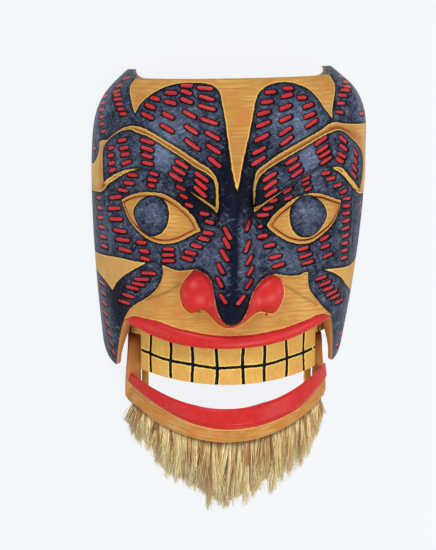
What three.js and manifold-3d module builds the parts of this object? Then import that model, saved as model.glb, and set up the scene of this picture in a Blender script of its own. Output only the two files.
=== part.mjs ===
// A carved wooden mask of a bearded man with a hinged lower jaw, lying on its back.
// Units are millimetres. The face looks up along +Z, the crown points along +Y.
// Positions on the face are given as s, the way round the arch from the middle line, and y.
import * as THREE from 'three';
import { mergeVertices } from 'three/addons/utils/BufferGeometryUtils.js';
import Module from 'manifold-3d';

const wasm = await Module();
wasm.setup();

// Overall sizes of the face shell
const HALF_WIDTH = 111;
const DEPTH = 92;
const QUARTER_ARCH = 165;
const WALL = 9;
const TIP_WALL = 3.5;
const CROWN_FRONT_Y = 146;
const CROWN_REAR_RISE = 6;
const TEMPLE_Y = 76;
const BROW_LINE_Y = 60;
const CROWN_REACH = 98;
const CROWN_ROUNDING = 2.5;
const JAW_TAPER = 16.6;
const DOME_REACH = 130;
const DOME_ROUNDING = 2.3;
const SIDE_FULLNESS = 0.92;
const FRONT_FULLNESS = 0.95;
const LEAN = 4.8;
const TILT = 0.015;

// Mouth and the pointed cheek flaps beside it
const LIP_EDGE_Y = -65.3;
const LIP_CURVE = 0.00247;
const LIP_WIDTH = 10.5;
const LIP_PROUD = 5;
const MOUTH_CORNER_S = 93;
const FLAP_CORNER_S = 99.5;
const FLAP_CORNER_Y = -46;
const FLAP_TIP_S = 120;
const FLAP_TIP_Y = -83;
const FLAP_REAR_Y = -66;

// Nose
const NOSE_HEIGHT = 31;
const NOSE_TOP_Y = 90;
const NOSE_TIP_Y = -40;
const NOSE_TOP_WIDTH = 8;
const NOSE_FOOT_WIDTH = 26;
const NOSE_SIDE = 7;
const NOSTRIL_S = 23;
const NOSTRIL_Y = -20;
const NOSTRIL_RADII = [16, 20];
const NOSTRIL_HEIGHT = 19;

// Brows and eyes; all the carving fades out towards the rear of the temples
const CARVING_END_S = 158;
const CARVING_FULL_S = 125;
const BROW_PROUD = 4.5;
const BROW_BEVEL = 7;
const SOCKET_DEPTH = 6;
const SOCKET_RADII = [50, 32];
const SOCKET_Y = 40;
const LEFT_SOCKET_S = -57;
const RIGHT_SOCKET_S = 54;
const EYE_PROUD = 8;
const EYE_CROWN = 17;
const MUZZLE_PROUD = 3;

// Teeth band and its ears
const BAND_HALF_WIDTH = 84;
const BAND_DEPTH = 82;
const BAND_WALL = 6;
const BAND_TOP_Y = -50;
const BAND_EDGE_Y = -95.7;
const BAND_CURVE = 0.0019;
const BAND_END_ANGLE = 77;
const NOTCH_Y = -57.5;
const EAR_THICKNESS = 5.2;
const EAR_TOP_Y = -52;
const EAR_BEND_Y = -79;
const EAR_FOOT_Y = -106;
const EAR_REAR_Z = 10;
const EAR_FRONT_Z = 45;
const EAR_FOOT_Z = 20;

// Lower jaw
const JAW_HALF_WIDTH = 82;
const JAW_DEPTH = 95;
const JAW_WALL = 8;
const JAW_LIP_Y = -112.8;
const JAW_LIP_CURVE = 0.0042;
const JAW_LIP_WIDTH = 16;
const JAW_LIP_PROUD = 4;
const CHIN_Y = -139.8;
const CHIN_CURVE = 0.0041;
const JAW_END_ANGLE = 74;
const JAW_TILT = 0.022;
const JAW_BACK_BEVEL = 7;
const ARM_HEAD_RADIUS = 12.5;
const ARM_FOOT_Y = -112;
const ARM_FOOT_Z = 20;

// Hinge
const HINGE_Y = -72;
const HINGE_Z = 27;
const PIN_RADIUS = 2.6;
const PIN_OUTER_X = 81.6;
const GAP = 0.35;

// The two sides of the hinge: where the band is notched, then the middles of its ear and of the jaw's arm.
// The left arm was cut wider than the right one.
const LEFT_HINGE = { side: -1, notchX: 68, earX: 63.7, armX: 74.6, armThickness: 11.6, pinInnerX: 60 };
const RIGHT_HINGE = { side: 1, notchX: 72, earX: 67.9, armX: 76.4, armThickness: 8, pinInnerX: 64.2 };

// Beard
const BEARD_HALF_WIDTH = 79;
const BEARD_TIP_Y = -196;
const BEARD_ROOT_Z = 87;
const BEARD_THICKNESS = 11;
const BEARD_DROOP = 12;
const BEARD_SIDE_RISE = 55;
const BEARD_SPREAD = 0.03;

// Outlines of the carving on the left and right of the face, as [s, y]
const LEFT_BROW = [
  [-114, 64], [-115, 88], [-108, 98], [-99, 103], [-84, 107], [-75, 105], [-49, 94], [-26, 78.5],
  [-15, 70], [-11.5, 62], [-11.5, 46], [-26, 55.5], [-39, 63], [-52, 71.5], [-73, 77], [-94, 73],
];
const RIGHT_BROW = [
  [119, 54], [117, 84], [111, 91], [93, 103.5], [84, 106.5], [66, 102.5], [46, 93], [19, 77],
  [14, 70], [13, 56], [13, 46], [31, 56.5], [40, 62], [52, 69], [74, 75], [94, 70],
];
const LEFT_EYE = [
  [-94, 51], [-76, 57], [-59, 57], [-43, 51], [-31, 41], [-22, 28.5],
  [-38, 20], [-52, 17.5], [-66, 20], [-78, 26], [-88, 36],
];
const RIGHT_EYE = [
  [93, 47], [74, 53], [58, 54], [46, 51], [32, 41.5], [23.5, 31],
  [32, 23.5], [47, 16], [63, 16], [78, 22.5], [89, 33],
];
const NOSE_SIDE_LINE = [
  [8, 84], [12, 60], [13, 42], [17, 15], [25, 1], [35, -8],
  [38, -20], [35, -31], [28, -38], [19, -37], [11, -43], [4, -48],
];
const LEFT_MUZZLE = [
  [-52, 1], [-52, -6], [-60, -20], [-80, -31], [-94, -43], [-94, -60], [0, -70], [0, -4], [-28, -3],
];
const RIGHT_MUZZLE = [
  [60, -7], [63, -20.5], [78, -34], [95, -44], [95, -60], [0, -70], [0, -4], [31, -7], [50, -9.5],
];

const degrees = THREE.MathUtils.degToRad;
const smooth = (x, low, high) => THREE.MathUtils.smoothstep(x, low, high);

// A closed outline smoothed into a loop of short straight edges.
function loop(points) {
  const corners = points.map(([s, y]) => new THREE.Vector3(s, y, 0));
  return new THREE.CatmullRomCurve3(corners, true, 'centripetal').getPoints(points.length * 4);
}

// Distance from a point to the loop, positive inside it.
function insideBy(outline, s, y) {
  let nearest = Infinity;
  let inside = false;
  for (let i = 0, j = outline.length - 1; i < outline.length; j = i++) {
    const a = outline[i];
    const b = outline[j];
    const along = (s - a.x) * (b.x - a.x) + (y - a.y) * (b.y - a.y);
    const k = THREE.MathUtils.clamp(along / Math.max(a.distanceToSquared(b), 1e-9), 0, 1);
    nearest = Math.min(nearest, Math.hypot(s - a.x - k * (b.x - a.x), y - a.y - k * (b.y - a.y)));
    if ((a.y > y) !== (b.y > y) && s < ((b.x - a.x) * (y - a.y)) / (b.y - a.y) + a.x) {
      inside = !inside;
    }
  }
  return inside ? nearest : -nearest;
}

// Half-width of the arch at height y: full at the temples, rounded in at the crown, tapered to the jaw.
function halfWidth(y) {
  if (y > TEMPLE_Y) {
    const climb = Math.min(y - TEMPLE_Y, CROWN_REACH) / (CROWN_REACH + 2);
    return HALF_WIDTH * (1 - climb ** CROWN_ROUNDING) ** (1 / CROWN_ROUNDING);
  }
  return HALF_WIDTH - JAW_TAPER * ((TEMPLE_Y - y) / 160) ** 1.66;
}

// Depth of the arch at height y: the forehead is domed back to the crown.
function depth(y) {
  const climb = Math.max(y - BROW_LINE_Y, 0) / DOME_REACH;
  return DEPTH * Math.sqrt(1 - climb ** DOME_ROUNDING);
}

// The middle line wanders a little to the left below the brows, as carved by hand.
const lean = (y) => -LEAN * (Math.max(100 - y, 0) / 165) ** 1.5;

// A point on the arch, lifted off it by a height.
function archPoint(s, y, height, inset) {
  const t = (s / QUARTER_ARCH) * (Math.PI / 2);
  const sine = Math.sin(t);
  const cosine = Math.max(Math.cos(t), 0);
  const wide = halfWidth(y) - inset;
  const deep = depth(y) - inset;
  const x = wide * Math.sign(sine) * Math.abs(sine) ** SIDE_FULLNESS;
  const z = deep * cosine ** FRONT_FULLNESS;
  const normal = new THREE.Vector2(sine * deep, cosine * wide).normalize();
  const out = x + height * normal.x;
  return new THREE.Vector3(out + lean(y), y + TILT * out, Math.max(z + height * normal.y, 0));
}

const lipEdge = (s) => LIP_EDGE_Y + LIP_CURVE * s * s;
const crownEdge = (s) => CROWN_FRONT_Y + CROWN_REAR_RISE * smooth(Math.abs(s), 100, QUARTER_ARCH);

// Lower edge of the shell: the lip, then the slanting front of a flap, its tip and its rear corner.
function lowerEdge(s) {
  const a = Math.abs(s);
  if (a < MOUTH_CORNER_S) {
    return lipEdge(s);
  }
  if (a < FLAP_CORNER_S) {
    const k = (a - MOUTH_CORNER_S) / (FLAP_CORNER_S - MOUTH_CORNER_S);
    return THREE.MathUtils.lerp(lipEdge(MOUTH_CORNER_S), FLAP_CORNER_Y, k);
  }
  if (a < FLAP_TIP_S) {
    const k = (a - FLAP_CORNER_S) / (FLAP_TIP_S - FLAP_CORNER_S);
    return FLAP_CORNER_Y + (FLAP_TIP_Y - FLAP_CORNER_Y) * k ** 1.15;
  }
  const k = (a - FLAP_TIP_S) / (QUARTER_ARCH - FLAP_TIP_S);
  return FLAP_TIP_Y + (FLAP_REAR_Y - FLAP_TIP_Y) * k ** 1.4;
}

const brows = [loop(LEFT_BROW), loop(RIGHT_BROW)];
const eyes = [loop(LEFT_EYE), loop(RIGHT_EYE)];
const muzzles = [loop(LEFT_MUZZLE), loop(RIGHT_MUZZLE)];
const noseBase = loop([...NOSE_SIDE_LINE, ...NOSE_SIDE_LINE.map(([s, y]) => [-s, y]).reverse()]);

// Height of the nose over the cheeks: a ridge that rises to the tip, with a round wing on each side of it.
function noseRelief(s, y) {
  const a = Math.abs(s);
  const climb = THREE.MathUtils.clamp((NOSE_TOP_Y - y) / (NOSE_TOP_Y - NOSE_TIP_Y), 0, 1);
  const spread = NOSE_TOP_WIDTH + (NOSE_FOOT_WIDTH - NOSE_TOP_WIDTH) * climb;
  const across = Math.min(a / spread, 1);
  const profile = 0.6 * (1 - across) + 0.2 * (1 + Math.cos(Math.PI * across));
  const ridge = NOSE_HEIGHT * climb ** 0.9 * profile;
  const reach = Math.hypot((a - NOSTRIL_S) / NOSTRIL_RADII[0], (y - NOSTRIL_Y) / NOSTRIL_RADII[1]);
  const wing = NOSTRIL_HEIGHT * Math.sqrt(Math.max(1 - reach * reach, 0));
  const blended = Math.cbrt(ridge ** 3 + wing ** 3);
  return blended * smooth(insideBy(noseBase, s, y), -1, NOSE_SIDE);
}

// The rolled upper lip, thinning to its corners.
function lipRelief(s, y) {
  const across = (y - lipEdge(s)) / LIP_WIDTH;
  const fade = 1 - smooth(Math.abs(s), 80, 96);
  return across < 1 ? LIP_PROUD * fade * Math.sqrt(Math.max(1 - (2 * across - 1) ** 2, 0)) : 0;
}

function eyeRelief(side, s, y) {
  const middle = side ? RIGHT_SOCKET_S : LEFT_SOCKET_S;
  const reach = Math.hypot((s - middle) / SOCKET_RADII[0], (y - SOCKET_Y) / SOCKET_RADII[1]);
  const socket = -SOCKET_DEPTH * (1 - smooth(reach, 0.45, 1.05));
  const within = Math.min(Math.max(insideBy(eyes[side], s, y), 0) / EYE_CROWN, 1);
  return socket + EYE_PROUD * (1 - (1 - within) ** 2);
}

// Height of all the carving over the plain arch.
function relief(s, y) {
  const side = s < 0 ? 0 : 1;
  const fade = 1 - smooth(Math.abs(s), CARVING_FULL_S, CARVING_END_S);
  const brow = BROW_PROUD * smooth(insideBy(brows[side], s, y), -BROW_BEVEL, 0);
  const muzzle = MUZZLE_PROUD * smooth(insideBy(muzzles[side], s, y), -1, 2.5);
  const carved = eyeRelief(side, s, y) * (1 - smooth(brow, 0, BROW_PROUD)) + brow + muzzle;
  return fade * (carved + noseRelief(s, y) + lipRelief(s, y));
}

// A closed shell from two sheets over the same square, the inner one coarser, joined round their edge.
// Each sheet is a function of u and v, which run from -1 to 1 across and from 1 to -1 down.
function shell(columns, rows, coarser, outerPoint, innerPoint) {
  const outer = new THREE.PlaneGeometry(2, 2, columns, rows);
  const inner = new THREE.PlaneGeometry(2, 2, columns / coarser, rows / coarser);
  const places = [];
  for (const [sheet, point] of [[outer, outerPoint], [inner, innerPoint]]) {
    const flat = sheet.getAttribute('position');
    for (let i = 0; i < flat.count; i++) {
      places.push(...point(flat.getX(i), flat.getY(i)).toArray());
    }
  }
  const first = outer.getAttribute('position').count;
  const index = [...outer.index.array];
  for (let i = 0; i < inner.index.count; i += 3) {
    const [a, b, c] = inner.index.array.slice(i, i + 3);
    index.push(first + a, first + c, first + b);
  }
  const fine = edgeLoop(columns, rows, 0);
  const coarse = edgeLoop(columns / coarser, rows / coarser, first);
  for (let k = 0; k < coarse.length; k++) {
    const next = coarse[(k + 1) % coarse.length];
    for (let m = 0; m < coarser; m++) {
      index.push(coarse[k], fine[(k * coarser + m + 1) % fine.length], fine[k * coarser + m]);
    }
    index.push(coarse[k], next, fine[((k + 1) * coarser) % fine.length]);
  }
  const geometry = new THREE.BufferGeometry();
  geometry.setAttribute('position', new THREE.Float32BufferAttribute(places, 3));
  geometry.setIndex(index);
  return geometry;
}

// Vertices round the edge of a sheet: down its left side, along the foot, up the right side and back.
function edgeLoop(columns, rows, first) {
  const at = (column, row) => first + row * (columns + 1) + column;
  const edge = [];
  for (let row = 0; row < rows; row++) {
    edge.push(at(0, row));
  }
  for (let column = 0; column < columns; column++) {
    edge.push(at(column, rows));
  }
  for (let row = rows; row > 0; row--) {
    edge.push(at(columns, row));
  }
  for (let column = columns; column > 0; column--) {
    edge.push(at(column, 0));
  }
  return edge;
}

function solid(geometry) {
  const bare = geometry.clone();
  bare.deleteAttribute('normal');
  bare.deleteAttribute('uv');
  const merged = mergeVertices(bare, 1e-4);
  return new wasm.Manifold(new wasm.Mesh({
    numProp: 3,
    vertProperties: new Float32Array(merged.getAttribute('position').array),
    triVerts: new Uint32Array(merged.index.array),
  }));
}

function geometryOf(manifold) {
  const mesh = manifold.getMesh();
  const geometry = new THREE.BufferGeometry();
  geometry.setAttribute('position', new THREE.BufferAttribute(new Float32Array(mesh.vertProperties), 3));
  geometry.setIndex([...mesh.triVerts]);
  return geometry;
}

// A flat board standing across X: an outline in Y and Z, given a thickness and a middle x.
function board(outline, middle, thickness) {
  const shape = new THREE.Shape(outline.map(([y, z]) => new THREE.Vector2(y, z)));
  const geometry = new THREE.ExtrudeGeometry(shape, { depth: thickness, bevelEnabled: false });
  geometry.translate(0, 0, -thickness / 2);
  geometry.applyMatrix4(new THREE.Matrix4().makeBasis(
    new THREE.Vector3(0, 1, 0), new THREE.Vector3(0, 0, 1), new THREE.Vector3(1, 0, 0)));
  geometry.translate(middle, 0, 0);
  return geometry;
}

function rod(radius, innerX, outerX) {
  const geometry = new THREE.CylinderGeometry(radius, radius, Math.abs(outerX - innerX), 16);
  geometry.rotateZ(Math.PI / 2);
  geometry.translate((innerX + outerX) / 2 - LEAN, HINGE_Y, HINGE_Z);
  return geometry;
}

function box(low, high) {
  const size = high.map((value, i) => value - low[i]);
  const geometry = new THREE.BoxGeometry(...size);
  geometry.translate(...high.map((value, i) => (value + low[i]) / 2));
  return geometry;
}

// Face shell: columns crowd towards the middle, where the carving is.
const spread = (u) => QUARTER_ARCH * (0.64 * u + 0.36 * u ** 3);

function faceSheet(inner) {
  return (u, v) => {
    const s = spread(u);
    const top = crownEdge(s);
    const y = lowerEdge(s) + (top - lowerEdge(s)) * (v + 1) / 2;
    const thinned = smooth(-y, 50, 84) * smooth(Math.abs(s), 92, 112);
    const wall = WALL + (TIP_WALL - WALL) * thinned;
    return inner ? archPoint(s, y, 0, wall) : archPoint(s, y, relief(s, y), 0);
  };
}

function faceGeometry() {
  return shell(60, 48, 3, faceSheet(false), faceSheet(true));
}

// A plain arched strip, as wide and deep as given, between two curved edges; its back may be cut lower.
function strip(columns, rows, sizes, topEdge, footEdge, proud) {
  const sheet = (inset) => (u, v) => {
    const t = u * degrees(sizes.endAngle);
    const x = (sizes.halfWidth - inset) * Math.sin(t);
    const wide = sizes.halfWidth * Math.sin(t);
    const top = topEdge(wide) - (inset ? sizes.backBevel * smooth(Math.abs(wide), 28, 60) : 0);
    const y = footEdge(wide) + (top - footEdge(wide)) * (v + 1) / 2;
    const lift = inset ? 0 : proud(wide, y);
    const z = (sizes.depth - inset + lift) * Math.cos(t);
    return new THREE.Vector3(x + lift * Math.sin(t) - LEAN, y, z);
  };
  return shell(columns, rows, 2, sheet(0), sheet(sizes.wall));
}

// An ear seen from the side: a plate that carries the pin, with a narrow foot behind the jaw.
function earOutline() {
  return [
    [EAR_TOP_Y, EAR_REAR_Z], [EAR_TOP_Y, EAR_FRONT_Z], [EAR_BEND_Y, EAR_FRONT_Z],
    [EAR_BEND_Y - 7, EAR_FOOT_Z], [EAR_FOOT_Y, EAR_FOOT_Z], [EAR_FOOT_Y, EAR_REAR_Z],
  ];
}

function teethGeometry() {
  const sizes = {
    halfWidth: BAND_HALF_WIDTH, depth: BAND_DEPTH, wall: BAND_WALL, endAngle: BAND_END_ANGLE, backBevel: 0,
  };
  const foot = (x) => BAND_EDGE_Y + BAND_CURVE * x * x;
  let band = solid(strip(32, 4, sizes, () => BAND_TOP_Y, foot, () => 0));
  for (const { side, notchX, earX, pinInnerX } of [LEFT_HINGE, RIGHT_HINGE]) {
    const from = side * notchX - LEAN;
    const to = side * 100 - LEAN;
    band = band.subtract(solid(box([Math.min(from, to), -120, -1], [Math.max(from, to), NOTCH_Y, 100])));
    band = band.add(solid(board(earOutline(), side * earX - LEAN, EAR_THICKNESS)));
    band = band.subtract(solid(rod(PIN_RADIUS + GAP, side * (pinInnerX - 1), side * notchX)));
  }
  return geometryOf(band);
}

// The jaw's edges climb towards its ends, and its right side sits a little higher.
const jawLipTop = (x) => JAW_LIP_Y + JAW_LIP_CURVE * x * x + JAW_TILT * x;
const chinEdge = (x) => CHIN_Y + CHIN_CURVE * x * x + JAW_TILT * 0.5 * x;

function jawRoll(x, y) {
  const across = (jawLipTop(x) - y) / JAW_LIP_WIDTH;
  return across < 1 ? JAW_LIP_PROUD * Math.sqrt(Math.max(1 - (2 * across - 1) ** 2, 0)) : 0;
}

// An arm seen from the side: a round head about the hinge and a straight shank down to the chin.
function armOutline() {
  const outline = [];
  for (let angle = 90; angle >= -90; angle -= 15) {
    const turn = degrees(angle);
    outline.push([HINGE_Y + ARM_HEAD_RADIUS * Math.cos(turn), HINGE_Z + ARM_HEAD_RADIUS * Math.sin(turn)]);
  }
  const rear = HINGE_Z - ARM_HEAD_RADIUS;
  const front = HINGE_Z + ARM_HEAD_RADIUS;
  outline.push([ARM_FOOT_Y + 12, rear - 4], [ARM_FOOT_Y, ARM_FOOT_Z]);
  outline.push([ARM_FOOT_Y, front - 8], [ARM_FOOT_Y + 10, front]);
  return outline;
}

function jawGeometry() {
  const sizes = {
    halfWidth: JAW_HALF_WIDTH,
    depth: JAW_DEPTH,
    wall: JAW_WALL,
    endAngle: JAW_END_ANGLE,
    backBevel: JAW_BACK_BEVEL,
  };
  let jaw = solid(strip(36, 8, sizes, jawLipTop, chinEdge, jawRoll));
  for (const { side, notchX, armX, armThickness } of [LEFT_HINGE, RIGHT_HINGE]) {
    jaw = jaw.add(solid(board(armOutline(), side * armX - LEAN, armThickness)));
    jaw = jaw.subtract(solid(rod(PIN_RADIUS + GAP, side * notchX, side * (PIN_OUTER_X + 1))));
  }
  return geometryOf(jaw);
}

// Beard: a thin curtain of hair from the underside of the chin to a ragged point.
function beardGeometry() {
  const ragged = (x) => 5 * Math.sin(x * 0.33) + 3 * Math.sin(x * 0.81 + 1);
  const sheet = (layer) => (u, v) => {
    const x = BEARD_HALF_WIDTH * u;
    const root = chinEdge(x) - 1;
    const fall = 1 - (1 - v) / 2;
    const tip = BEARD_TIP_Y + BEARD_SIDE_RISE * Math.abs(u) ** 1.25 + ragged(x);
    const y = tip + (root - tip) * fall;
    const arch = Math.sqrt(Math.max(1 - (x / (JAW_HALF_WIDTH + 1)) ** 2, 0));
    const z = BEARD_ROOT_Z * arch + 4 - BEARD_DROOP * (1 - fall) ** 2;
    const thick = BEARD_THICKNESS * (0.35 + 0.65 * fall);
    const fanned = x * (1 + BEARD_SPREAD * (1 - fall));
    return new THREE.Vector3(fanned - LEAN, y, Math.max(z - layer * thick, 2));
  };
  return shell(32, 4, 2, sheet(0), sheet(1));
}

const mask = new THREE.Group();

function piece(name, geometry, colour, roughness) {
  const material = new THREE.MeshStandardMaterial({ color: colour, roughness, metalness: 0 });
  const mesh = new THREE.Mesh(geometry, material);
  mesh.name = name;
  mask.add(mesh);
}

piece('mask_face', faceGeometry(), 0x2f2f47, 0.6);
piece('teeth_band', teethGeometry(), 0xd9b45f, 0.55);
piece('lower_jaw', jawGeometry(), 0xc98f45, 0.55);
piece('jaw_pin_left', rod(PIN_RADIUS, -LEFT_HINGE.pinInnerX, -PIN_OUTER_X), 0x6b4a2a, 0.6);
piece('jaw_pin_right', rod(PIN_RADIUS, RIGHT_HINGE.pinInnerX, PIN_OUTER_X), 0x6b4a2a, 0.6);
piece('beard', beardGeometry(), 0xd8c795, 0.8);

// The origin is under the middle of the whole mask.
const extent = new THREE.Box3().setFromObject(mask);
const middle = extent.getCenter(new THREE.Vector3());
mask.position.set(-middle.x, -middle.y, -extent.min.z);
mask.updateMatrixWorld(true);

export default mask;
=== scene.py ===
"""Looks of a carved and painted wooden mask with a hinged lower jaw and a horsehair beard.

The mask lies on its back: the face looks up along +Z and the crown points along +Y.
Places on the face are given as s, the way round the arch from its middle line, and y.
Both are millimetres of the mask's own frame. The finished pieces are in metres.
"""

import logging
import math
from dataclasses import dataclass, field
from enum import Enum
from typing import Iterable, Optional, Sequence, Union

import bmesh
import bpy
import numpy as np
from mathutils import Matrix, Vector


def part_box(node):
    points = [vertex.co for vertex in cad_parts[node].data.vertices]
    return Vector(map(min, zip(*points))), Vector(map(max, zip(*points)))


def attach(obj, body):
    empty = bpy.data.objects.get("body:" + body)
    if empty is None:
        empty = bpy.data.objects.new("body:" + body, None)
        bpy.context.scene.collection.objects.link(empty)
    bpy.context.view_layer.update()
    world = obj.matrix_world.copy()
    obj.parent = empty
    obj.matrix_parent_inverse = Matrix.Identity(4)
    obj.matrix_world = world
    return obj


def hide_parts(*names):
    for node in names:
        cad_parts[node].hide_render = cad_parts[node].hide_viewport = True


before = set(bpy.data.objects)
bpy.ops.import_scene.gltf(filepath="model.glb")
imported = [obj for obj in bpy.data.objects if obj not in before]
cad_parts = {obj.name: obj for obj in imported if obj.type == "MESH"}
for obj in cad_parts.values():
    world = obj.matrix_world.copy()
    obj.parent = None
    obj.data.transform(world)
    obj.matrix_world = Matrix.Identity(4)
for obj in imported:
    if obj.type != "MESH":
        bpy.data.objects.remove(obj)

Array = np.ndarray
BMesh = bmesh.types.BMesh
Mesh = bpy.types.Mesh
Piece = bpy.types.Object
Material = bpy.types.Material
Socket = bpy.types.NodeSocket
Point = tuple[float, float]
Points = Sequence[Point]
Place = tuple[float, float, float]

LOG = logging.getLogger("mask")
MM = 0.001  # one millimetre in metres
LEAN = 4.8  # how far the mouth, the jaw and the beard stand to the left, in millimetres
HINGE = (-72.0, 27.0)  # the jaw's axis, in y and z
PIN_HOLE = (*HINGE, 2.95)  # a hole on the axis, with its radius
PINS = ("jaw_pin_left", "jaw_pin_right")
GRAIN_WAY, STRAND_TONE, STRAND_WAY = "grain_way", "strand_tone", "strand_way"
WHOLE = 0.999  # a share over this counts as one
OUTSIDE = -10.0  # the distance inside a painted area that a place far from it is given
WAVE_GAP = 0.314  # the distance between the bands of a wave pattern at a scale of one

# Inputs of a Mix node by number, because several share one name; what makes it mix colours; a soft range
SHARE, NUMBER_A, NUMBER_B, COLOUR_A, COLOUR_B = 0, 2, 3, 6, 7
COLOURS = {"out": 2, "data_type": "RGBA"}
SOFT = {"interpolation_type": "SMOOTHSTEP"}


class Side(Enum):
    """The viewer's left or right half of the face."""

    LEFT = -1
    RIGHT = 1


class Stain(Enum):
    """Names of the attributes that say where the paint, the stains, and the painted sheen and shade lie."""

    BLACK = "black_paint"
    RED = "red_paint"
    CREASE = "dark_crease"
    ENDGRAIN = "end_grain"
    GOUGE = "inside_cut"
    WORN = "worn_paint"
    LID = "inside_eye"
    STRAW = "straw_wood"
    FRONT = "front_face"


# These are distances in millimetres inside an area, and the other stains are shares of one
DISTANCES = (Stain.BLACK, Stain.RED, Stain.GOUGE, Stain.LID)


def frame_shift() -> Array:
    """From the mask's own millimetres to those of the frame, by the outer ends of the two hinge pins."""
    low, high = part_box(PINS[0])[0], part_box(PINS[1])[1]
    return np.array((low + high) / 2) / MM - np.array((-LEAN, *HINGE))


SHIFT = frame_shift()


def smooth(value: Array, low: float, high: float) -> Array:
    """Eases from 0 at low to 1 at high."""
    t = np.clip((np.asarray(value, float) - low) / (high - low), 0.0, 1.0)
    return t * t * (3.0 - 2.0 * t)


def bell(value: Array, wide: float) -> Array:
    """Gives 1 at zero, falling away smoothly over the width at both sides."""
    return np.exp(-(value / wide) ** 2)


def linear(colour: str) -> tuple[float, float, float, float]:
    """Turns an sRGB hex colour to the linear values of a shader, by the standard's own curve.

    Args:
        colour: Six hex digits after a hash.

    Returns:
        Red, green, blue and an alpha of one.
    """
    parts = [int(colour[i:i + 2], 16) / 255 for i in (1, 3, 5)]
    made = [c / 12.92 if c <= 0.04045 else ((c + 0.055) / 1.055) ** 2.4 for c in parts]
    return made[0], made[1], made[2], 1.0


def curve(points: Points, steps: int = 5) -> Array:
    """Draws a smooth line through points, with a free end at each side.

    Args:
        points: The places that the line passes.
        steps: Short straight lengths between two places.

    Returns:
        Places along the line, the last one included.
    """
    given = np.array(points, float)
    if len(given) < 3:
        return given
    ends = np.vstack([2 * given[0] - given[1], given, 2 * given[-1] - given[-2]])
    # Knots by the root of each length keep the line from looping
    knots = np.cumsum([0.0, *np.maximum(np.linalg.norm(np.diff(ends, axis=0), axis=1), 1e-6) ** 0.5])
    drawn = []
    for i in range(1, len(ends) - 2):
        p, k = ends[i - 1:i + 3], knots[i - 1:i + 3]
        for t in np.linspace(k[1], k[2], steps, endpoint=False):
            a = [((k[j + 1] - t) * p[j] + (t - k[j]) * p[j + 1]) / (k[j + 1] - k[j]) for j in range(3)]
            b = [((k[j + 2] - t) * a[j] + (t - k[j]) * a[j + 1]) / (k[j + 2] - k[j]) for j in range(2)]
            drawn.append(((k[2] - t) * b[0] + (t - k[1]) * b[1]) / (k[2] - k[1]))
    return np.vstack([drawn, given[-1]])


def to_segment(s: Array, y: Array, a: Sequence[float], b: Sequence[float]) -> Array:
    """Measures how far places are from a short straight line.

    Args:
        s: Places across.
        y: Places up.
        a: The line's start.
        b: Its end.

    Returns:
        The distances.
    """
    along = ((s - a[0]) * (b[0] - a[0]) + (y - a[1]) * (b[1] - a[1]))
    k = np.clip(along / max((b[0] - a[0]) ** 2 + (b[1] - a[1]) ** 2, 1e-9), 0.0, 1.0)
    return np.hypot(s - a[0] - k * (b[0] - a[0]), y - a[1] - k * (b[1] - a[1]))


class Line:
    """A line drawn on the face."""

    def __init__(self, points: Array) -> None:
        """Keeps the places along the line."""
        self.points = points

    def near(self, s: Array, y: Array, reach: float) -> Array:
        """Tells which places lie in the line's own box, widened by the reach."""
        low, high = self.points.min(0) - reach, self.points.max(0) + reach
        return (s > low[0]) & (s < high[0]) & (y > low[1]) & (y < high[1])


class Outline(Line):
    """A closed line, drawn in strokes that meet in corners."""

    def __init__(self, *strokes: Points) -> None:
        """Joins the strokes, each smoothed by itself."""
        super().__init__(np.vstack([curve(stroke) for stroke in strokes]))

    def inside_by(self, s: Array, y: Array, reach: float = 14.0) -> Array:
        """Measures how far places lie inside the line.

        Args:
            s: Places across.
            y: Places up.
            reach: The most that is told apart, either way.

        Returns:
            Millimetres, positive inside and negative outside.
        """
        result = np.full(s.shape, -reach)
        near = self.near(s, y, reach)
        px, py = s[near], y[near]
        best = np.full(px.shape, reach)
        inside = np.zeros(px.shape, bool)
        for a, b in zip(self.points, np.roll(self.points, -1, axis=0)):
            best = np.minimum(best, to_segment(px, py, a, b))
            if a[1] != b[1]:
                crossing = (b[0] - a[0]) * (py - a[1]) / (b[1] - a[1]) + a[0]
                inside ^= ((a[1] > py) != (b[1] > py)) & (px < crossing)
        result[near] = np.where(inside, best, -best)
        return result


class Crease(Line):
    """An open line, cut narrow."""

    def __init__(self, points: Points) -> None:
        """Smooths the line."""
        super().__init__(curve(points, 4))

    def away_from(self, s: Array, y: Array, reach: float = 8.0) -> Array:
        """Measures how far places lie from the line.

        Args:
            s: Places across.
            y: Places up.
            reach: The most that is told apart.

        Returns:
            Millimetres.
        """
        result = np.full(s.shape, reach)
        near = self.near(s, y, reach)
        for a, b in zip(self.points[:-1], self.points[1:]):
            result[near] = np.minimum(result[near], to_segment(s[near], y[near], a, b))
        return result


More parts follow.
